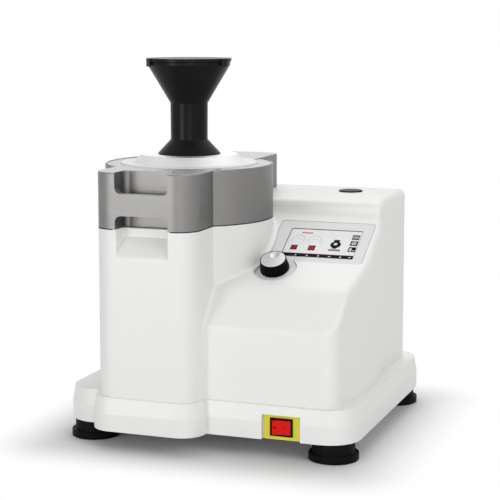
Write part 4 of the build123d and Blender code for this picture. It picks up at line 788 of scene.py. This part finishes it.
# Turned rings: a noise of the distance from the axis only, raised by Depth, as a lathe leaves them.
rings, given, rings_out = make_group(
    "turned_rings",
    [("Place", "NodeSocketVector", (0, 0, 0)), ("Pitch", "NodeSocketFloat", 0.0004),
     ("Depth", "NodeSocketFloat", 0.00001)],
    [("Tone", "NodeSocketFloat"), ("Normal", "NodeSocketVector")])
flat = add_node(rings, "ShaderNodeVectorMath", {0: given["Place"], 1: (1, 1, 0)}, operation="MULTIPLY")
radius = add_node(rings, "ShaderNodeVectorMath", {0: flat.outputs[0]}, operation="LENGTH")
turns = add_node(rings, "ShaderNodeMath", {0: radius.outputs["Value"], 1: given["Pitch"]},
                 operation="DIVIDE")
marks = add_node(rings, "ShaderNodeTexNoise", {"W": turns.outputs[0], "Scale": 1.0, "Detail": 2.0},
                 noise_dimensions="1D")
ring_bump = add_node(rings, "ShaderNodeBump", {"Height": marks.outputs[0], "Distance": given["Depth"]})
rings.links.new(marks.outputs[0], rings_out["Tone"])
rings.links.new(ring_bump.outputs["Normal"], rings_out["Normal"])


def lathe_finish(name, colour, roughness, centre, pitch, depth, spread, tilt=0.0):
    """A turned metal finish with rings round an axis through the centre, tilted about X."""
    made, tree, shader = node_material(name)
    shader.inputs["Metallic"].default_value = 1.0
    place = tree.nodes.new("ShaderNodeTexCoord").outputs["Object"]
    local = add_node(tree, "ShaderNodeMapping",
                     {"Vector": place, "Location": centre, "Rotation": (tilt, 0, 0)},
                     vector_type="TEXTURE")
    skin = add_node(tree, "ShaderNodeGroup", node_tree=rings)
    tree.links.new(local.outputs["Vector"], skin.inputs["Place"])
    skin.inputs["Pitch"].default_value = pitch
    skin.inputs["Depth"].default_value = depth
    skinned(tree, shader, skin, colour, roughness, spread, spread)
    return made


def evenly_shaded(name, material, crease, flat_angle=0.002):
    """A copy of a CAD node with its doubles merged, its flat faces joined and edges over the
    crease angle kept sharp. Normals are weighted by face area, so flats stay flat."""
    work = bmesh.new()
    work.from_mesh(nodes[name].data)
    bmesh.ops.remove_doubles(work, verts=work.verts, dist=2 * merge_distance)
    bmesh.ops.dissolve_limit(work, angle_limit=flat_angle, verts=work.verts, edges=work.edges)
    mesh = bpy.data.meshes.new(name + "_skin")
    work.to_mesh(mesh)
    work.free()
    mesh.shade_smooth()
    mesh.set_sharp_from_angle(angle=math.radians(crease))
    made = linked(name + "_skin", mesh, material)
    weighted = made.modifiers.new("even_normals", "WEIGHTED_NORMAL")
    weighted.keep_sharp = True
    return made


knob_place = slope_foot + knob_up * up_slope + np.array([knob_x, 0, 0])
knob_disc = lathe_finish("knob_silver", knob_silver, roughness=0.46, centre=knob_place,
                         pitch=0.3 * mm, depth=0.0006 * mm, spread=0.01, tilt=slope_angle)
knob_disc_skin = evenly_shaded("knob_cap", knob_disc, crease=20)
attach(knob_disc_skin, "knob")
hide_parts("knob_cap")


# Deck cap
# A cap moulded in the knob's black plastic closes the socket for the stand rod in the deck. It is
# pushed in, and pulls straight up and out.
dress(black_plastic, "socket_cap")


# Rear panel and mains inlet
# A brushed steel sheet with round corners closes the opening in the back, held by four screws.
# The appliance inlet is a black moulding clipped into it, with three brass pins.
brush_stretch = (0.02, 1.0, 1.0)

# Brushed lines: a noise stretched along one way by the Place it is given, raised by Depth.
brushed, given, brushed_out = make_group(
    "brushed_lines",
    [("Place", "NodeSocketVector", (0, 0, 0)), ("Fineness", "NodeSocketFloat", 900.0),
     ("Depth", "NodeSocketFloat", 0.00001)],
    [("Tone", "NodeSocketFloat"), ("Normal", "NodeSocketVector")])
lines = add_node(brushed, "ShaderNodeTexNoise", {"Vector": given["Place"], "Scale": given["Fineness"],
                                                 "Detail": 2.0})
line_bump = add_node(brushed, "ShaderNodeBump", {"Height": lines.outputs[0], "Distance": given["Depth"]})
brushed.links.new(lines.outputs[0], brushed_out["Tone"])
brushed.links.new(line_bump.outputs["Normal"], brushed_out["Normal"])


def brushed_finish(name, colour, roughness, stretch, fineness, depth, spread):
    """A brushed metal finish; the stretch is small along the way of the lines."""
    made, tree, shader = node_material(name)
    shader.inputs["Metallic"].default_value = 1.0
    place = tree.nodes.new("ShaderNodeTexCoord").outputs["Object"]
    local = add_node(tree, "ShaderNodeMapping", {"Vector": place, "Scale": stretch})
    skin = add_node(tree, "ShaderNodeGroup", node_tree=brushed)
    tree.links.new(local.outputs["Vector"], skin.inputs["Place"])
    skin.inputs["Fineness"].default_value = fineness
    skin.inputs["Depth"].default_value = depth
    skinned(tree, shader, skin, colour, roughness, spread, spread)
    return made


panel_steel = brushed_finish("brushed_sheet", (0.58, 0.58, 0.585), roughness=0.34,
                             stretch=brush_stretch, fineness=900.0, depth=0.01 * mm, spread=0.06)
brass = grained("brass", (0.72, 0.52, 0.22), roughness=0.3, fineness=600.0, depth=0.006 * mm,
                spread=0.05, metallic=1.0)
dress(panel_steel, "rear_panel")
dress(black_plastic, "mains_inlet")
dress(brass, "inlet_pins")


# Grinding chamber
# A cast tub in the column holds a steel pan, and in it stand the slotted sieve ring and the
# toothed rotor. Pan, ring and rotor are turned and polished stainless steel.
chamber_axis = (axis_x, axis_y, 0.0)
tub_cast = grained("tub_casting", (0.42, 0.42, 0.42), roughness=0.5, fineness=900.0,
                   depth=0.04 * mm, spread=0.06, clouds=60.0, metallic=1.0)
stainless = lathe_finish("turned_stainless", (0.62, 0.615, 0.605), roughness=0.25,
                         centre=chamber_axis, pitch=0.5 * mm, depth=0.004 * mm, spread=0.04)
dress(tub_cast, "chamber_tub")
dress(stainless, "collecting_pan", "sieve_ring", "rotor", "rotor_cap", "pan_cover", "feed_tube")
dress(seal_rubber, "lid_seal", "rubber_buffers")


# Drive
# Motor, shaft and bearings stand under the chamber on four posts: an aluminium frame, a steel
# stator with lacquered copper windings, ground shafts and a black fan. The controller is beside it.
winding_stretch = (1.0, 1.0, 0.05)
ground_steel = lathe_finish("ground_steel", (0.56, 0.56, 0.57), roughness=0.22,
                            centre=chamber_axis, pitch=0.4 * mm, depth=0.003 * mm, spread=0.03)
motor_metal = grained("motor_casting", (0.50, 0.50, 0.51), roughness=0.42, fineness=900.0,
                      depth=0.03 * mm, spread=0.05, clouds=50.0, metallic=1.0)
windings = brushed_finish("copper_windings", (0.62, 0.25, 0.12), roughness=0.4,
                          stretch=winding_stretch, fineness=1200.0, depth=0.05 * mm, spread=0.15)
dress(ground_steel, "drive_shaft", "upper_bearing", "lower_bearing", "motor_armature",
      "chamber_posts", "encoder_shaft", "rod_socket", "hinge_pin", "lid_striker", "lock_bolt")
dress(motor_metal, "motor_frame", "motor_drive")
dress(windings, "motor_stator")
dress(black_plastic, "cooling_fan")


# Lid casting
# The lid is a light metal casting, bead-blasted to an even fine grain and left bare. Lobe,
# handle bar and hinge lug are cast in one with the ring. Its level tops are painted a lighter
# grey than its sides: painted sheen, for the lamps' glancing reflection on them.
cast_grey = (0.215, 0.212, 0.209)
# The lighter grey of level tops is painted sheen.
painted_top_sheen = (0.40, 0.395, 0.39)
side_roughness, top_roughness = 0.45, 0.50
cast_fineness = 480.0
cast_depth = 0.22 * mm
cast_clouds = 45.0
cloud_dark, cloud_light = 0.92, 1.08

# How far up a face's normal points where the painted sheen starts, and where it is full.
tilted_up, level_up = 0.85, 0.98

blasted, blasted_tree, blasted_shader = node_material("blasted_casting")
blasted_shader.inputs["Metallic"].default_value = 1.0
blasted_place = blasted_tree.nodes.new("ShaderNodeTexCoord").outputs
blasted_skin = add_node(blasted_tree, "ShaderNodeGroup", node_tree=grain)
blasted_tree.links.new(blasted_place["Object"], blasted_skin.inputs["Place"])
blasted_skin.inputs["Fineness"].default_value = cast_fineness
blasted_skin.inputs["Depth"].default_value = cast_depth
blasted_skin.inputs["Clouds"].default_value = cast_clouds
facing = add_node(blasted_tree, "ShaderNodeSeparateXYZ", {0: blasted_place["Normal"]}).outputs["Z"]
upward = add_node(blasted_tree, "ShaderNodeMapRange", {"Value": facing, "From Min": tilted_up,
                                                       "From Max": level_up}).outputs["Result"]
# Painted sheen: the base colour turns lighter as a face turns up.
cast_and_sheen_tone = add_node(blasted_tree, "ShaderNodeMix",
                     {0: upward, 6: cast_grey + (1,), 7: painted_top_sheen + (1,)}, data_type="RGBA")
clouded = add_node(blasted_tree, "ShaderNodeMapRange",
                   {"Value": blasted_skin.outputs["Tone"], "To Min": cloud_dark, "To Max": cloud_light})
cast_mix = add_node(blasted_tree, "ShaderNodeVectorMath",
                    {0: cast_and_sheen_tone.outputs[2], 3: clouded.outputs["Result"]}, operation="SCALE")
cast_roughness = add_node(blasted_tree, "ShaderNodeMapRange",
                          {"Value": upward, "To Min": side_roughness, "To Max": top_roughness})
blasted_tree.links.new(cast_mix.outputs[0], blasted_shader.inputs["Base Color"])
blasted_tree.links.new(cast_roughness.outputs["Result"], blasted_shader.inputs["Roughness"])
blasted_tree.links.new(blasted_skin.outputs["Normal"], blasted_shader.inputs["Normal"])
dress(blasted, "lid_casting")


# Lid insert
# A smooth white plastic disc is let into the lid's ring and carries the feed cone. Six screws hold
# it from below.
insert_white = grained("insert_white", (0.85, 0.85, 0.845), roughness=0.42, fineness=900.0,
                       depth=0.004 * mm, spread=0.006, specular=0.3)
dress(insert_white, "lid_insert")


# Feed cone
# A cone turned from aluminium stands on the disc, with a bright rounded rim and a bore for the
# funnel. Fine rings from the lathe run round it.
cone_metal = lathe_finish("turned_cone", (0.67, 0.67, 0.665), roughness=0.50, centre=chamber_axis,
                          pitch=0.35 * mm, depth=0.006 * mm, spread=0.03)
dress(cone_metal, "feed_cone")


# Feed funnel
# The funnel is a satin black plastic moulding: a spigot in the cone, a flared foot that covers
# the bore, a slightly tapering tube and a wide mouth with a rim. It lifts out.
funnel_wall = 3.2 * mm
tube_top_radius, tube_low_radius = 27.0 * mm, 26.7 * mm
foot_radius = 45.1 * mm
mouth_radius = 59.6 * mm
foot_lip, flare_height, tube_height = 1.2 * mm, 21.0 * mm, 73.4 * mm
spigot_radius, spigot_depth = 26.0 * mm, 46.0 * mm
rim_height = 4.5 * mm
funnel_rounds = np.array([0.3, 0.8, 3.0, 2.0, 1.0, 0.6, 0.6, 2.0, 6.0, 0.4, 0.4, 0.3]) * mm
funnel_segments = 192
funnel_low, funnel_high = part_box("feed_funnel")
spigot_low, mouth_top = funnel_low.z, funnel_high.z
foot_low = spigot_low + spigot_depth
tube_top = foot_low + tube_height
tube_bore, mouth_bore = tube_top_radius - funnel_wall, mouth_radius - funnel_wall
funnel_black = grained("funnel_black", (0.0075, 0.0075, 0.0078), roughness=0.30, fineness=1200.0,
                       depth=0.006 * mm, spread=0.06, clouds=25.0, specular=0.08)
funnel_outline = rounded(
    [(foot_radius, foot_low), (foot_radius, foot_low + foot_lip),
     (tube_low_radius, foot_low + flare_height), (tube_top_radius, tube_top),
     (mouth_radius, mouth_top - rim_height), (mouth_radius, mouth_top), (mouth_bore, mouth_top),
     (mouth_bore, mouth_top - rim_height), (tube_bore, tube_top + funnel_wall),
     (tube_bore, spigot_low), (spigot_radius, spigot_low), (spigot_radius, foot_low)],
    funnel_rounds)
funnel = turned("funnel_moulding", funnel_outline, chamber_axis, funnel_black, funnel_segments)
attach(funnel, "funnel")
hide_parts("feed_funnel")


# Funnel lid
# A flat black lid with three square tabs round its edge and a small dimple at the front. It lies
# on the funnel's rim with a ring inside the mouth.
dress(funnel_black, "funnel_lid")
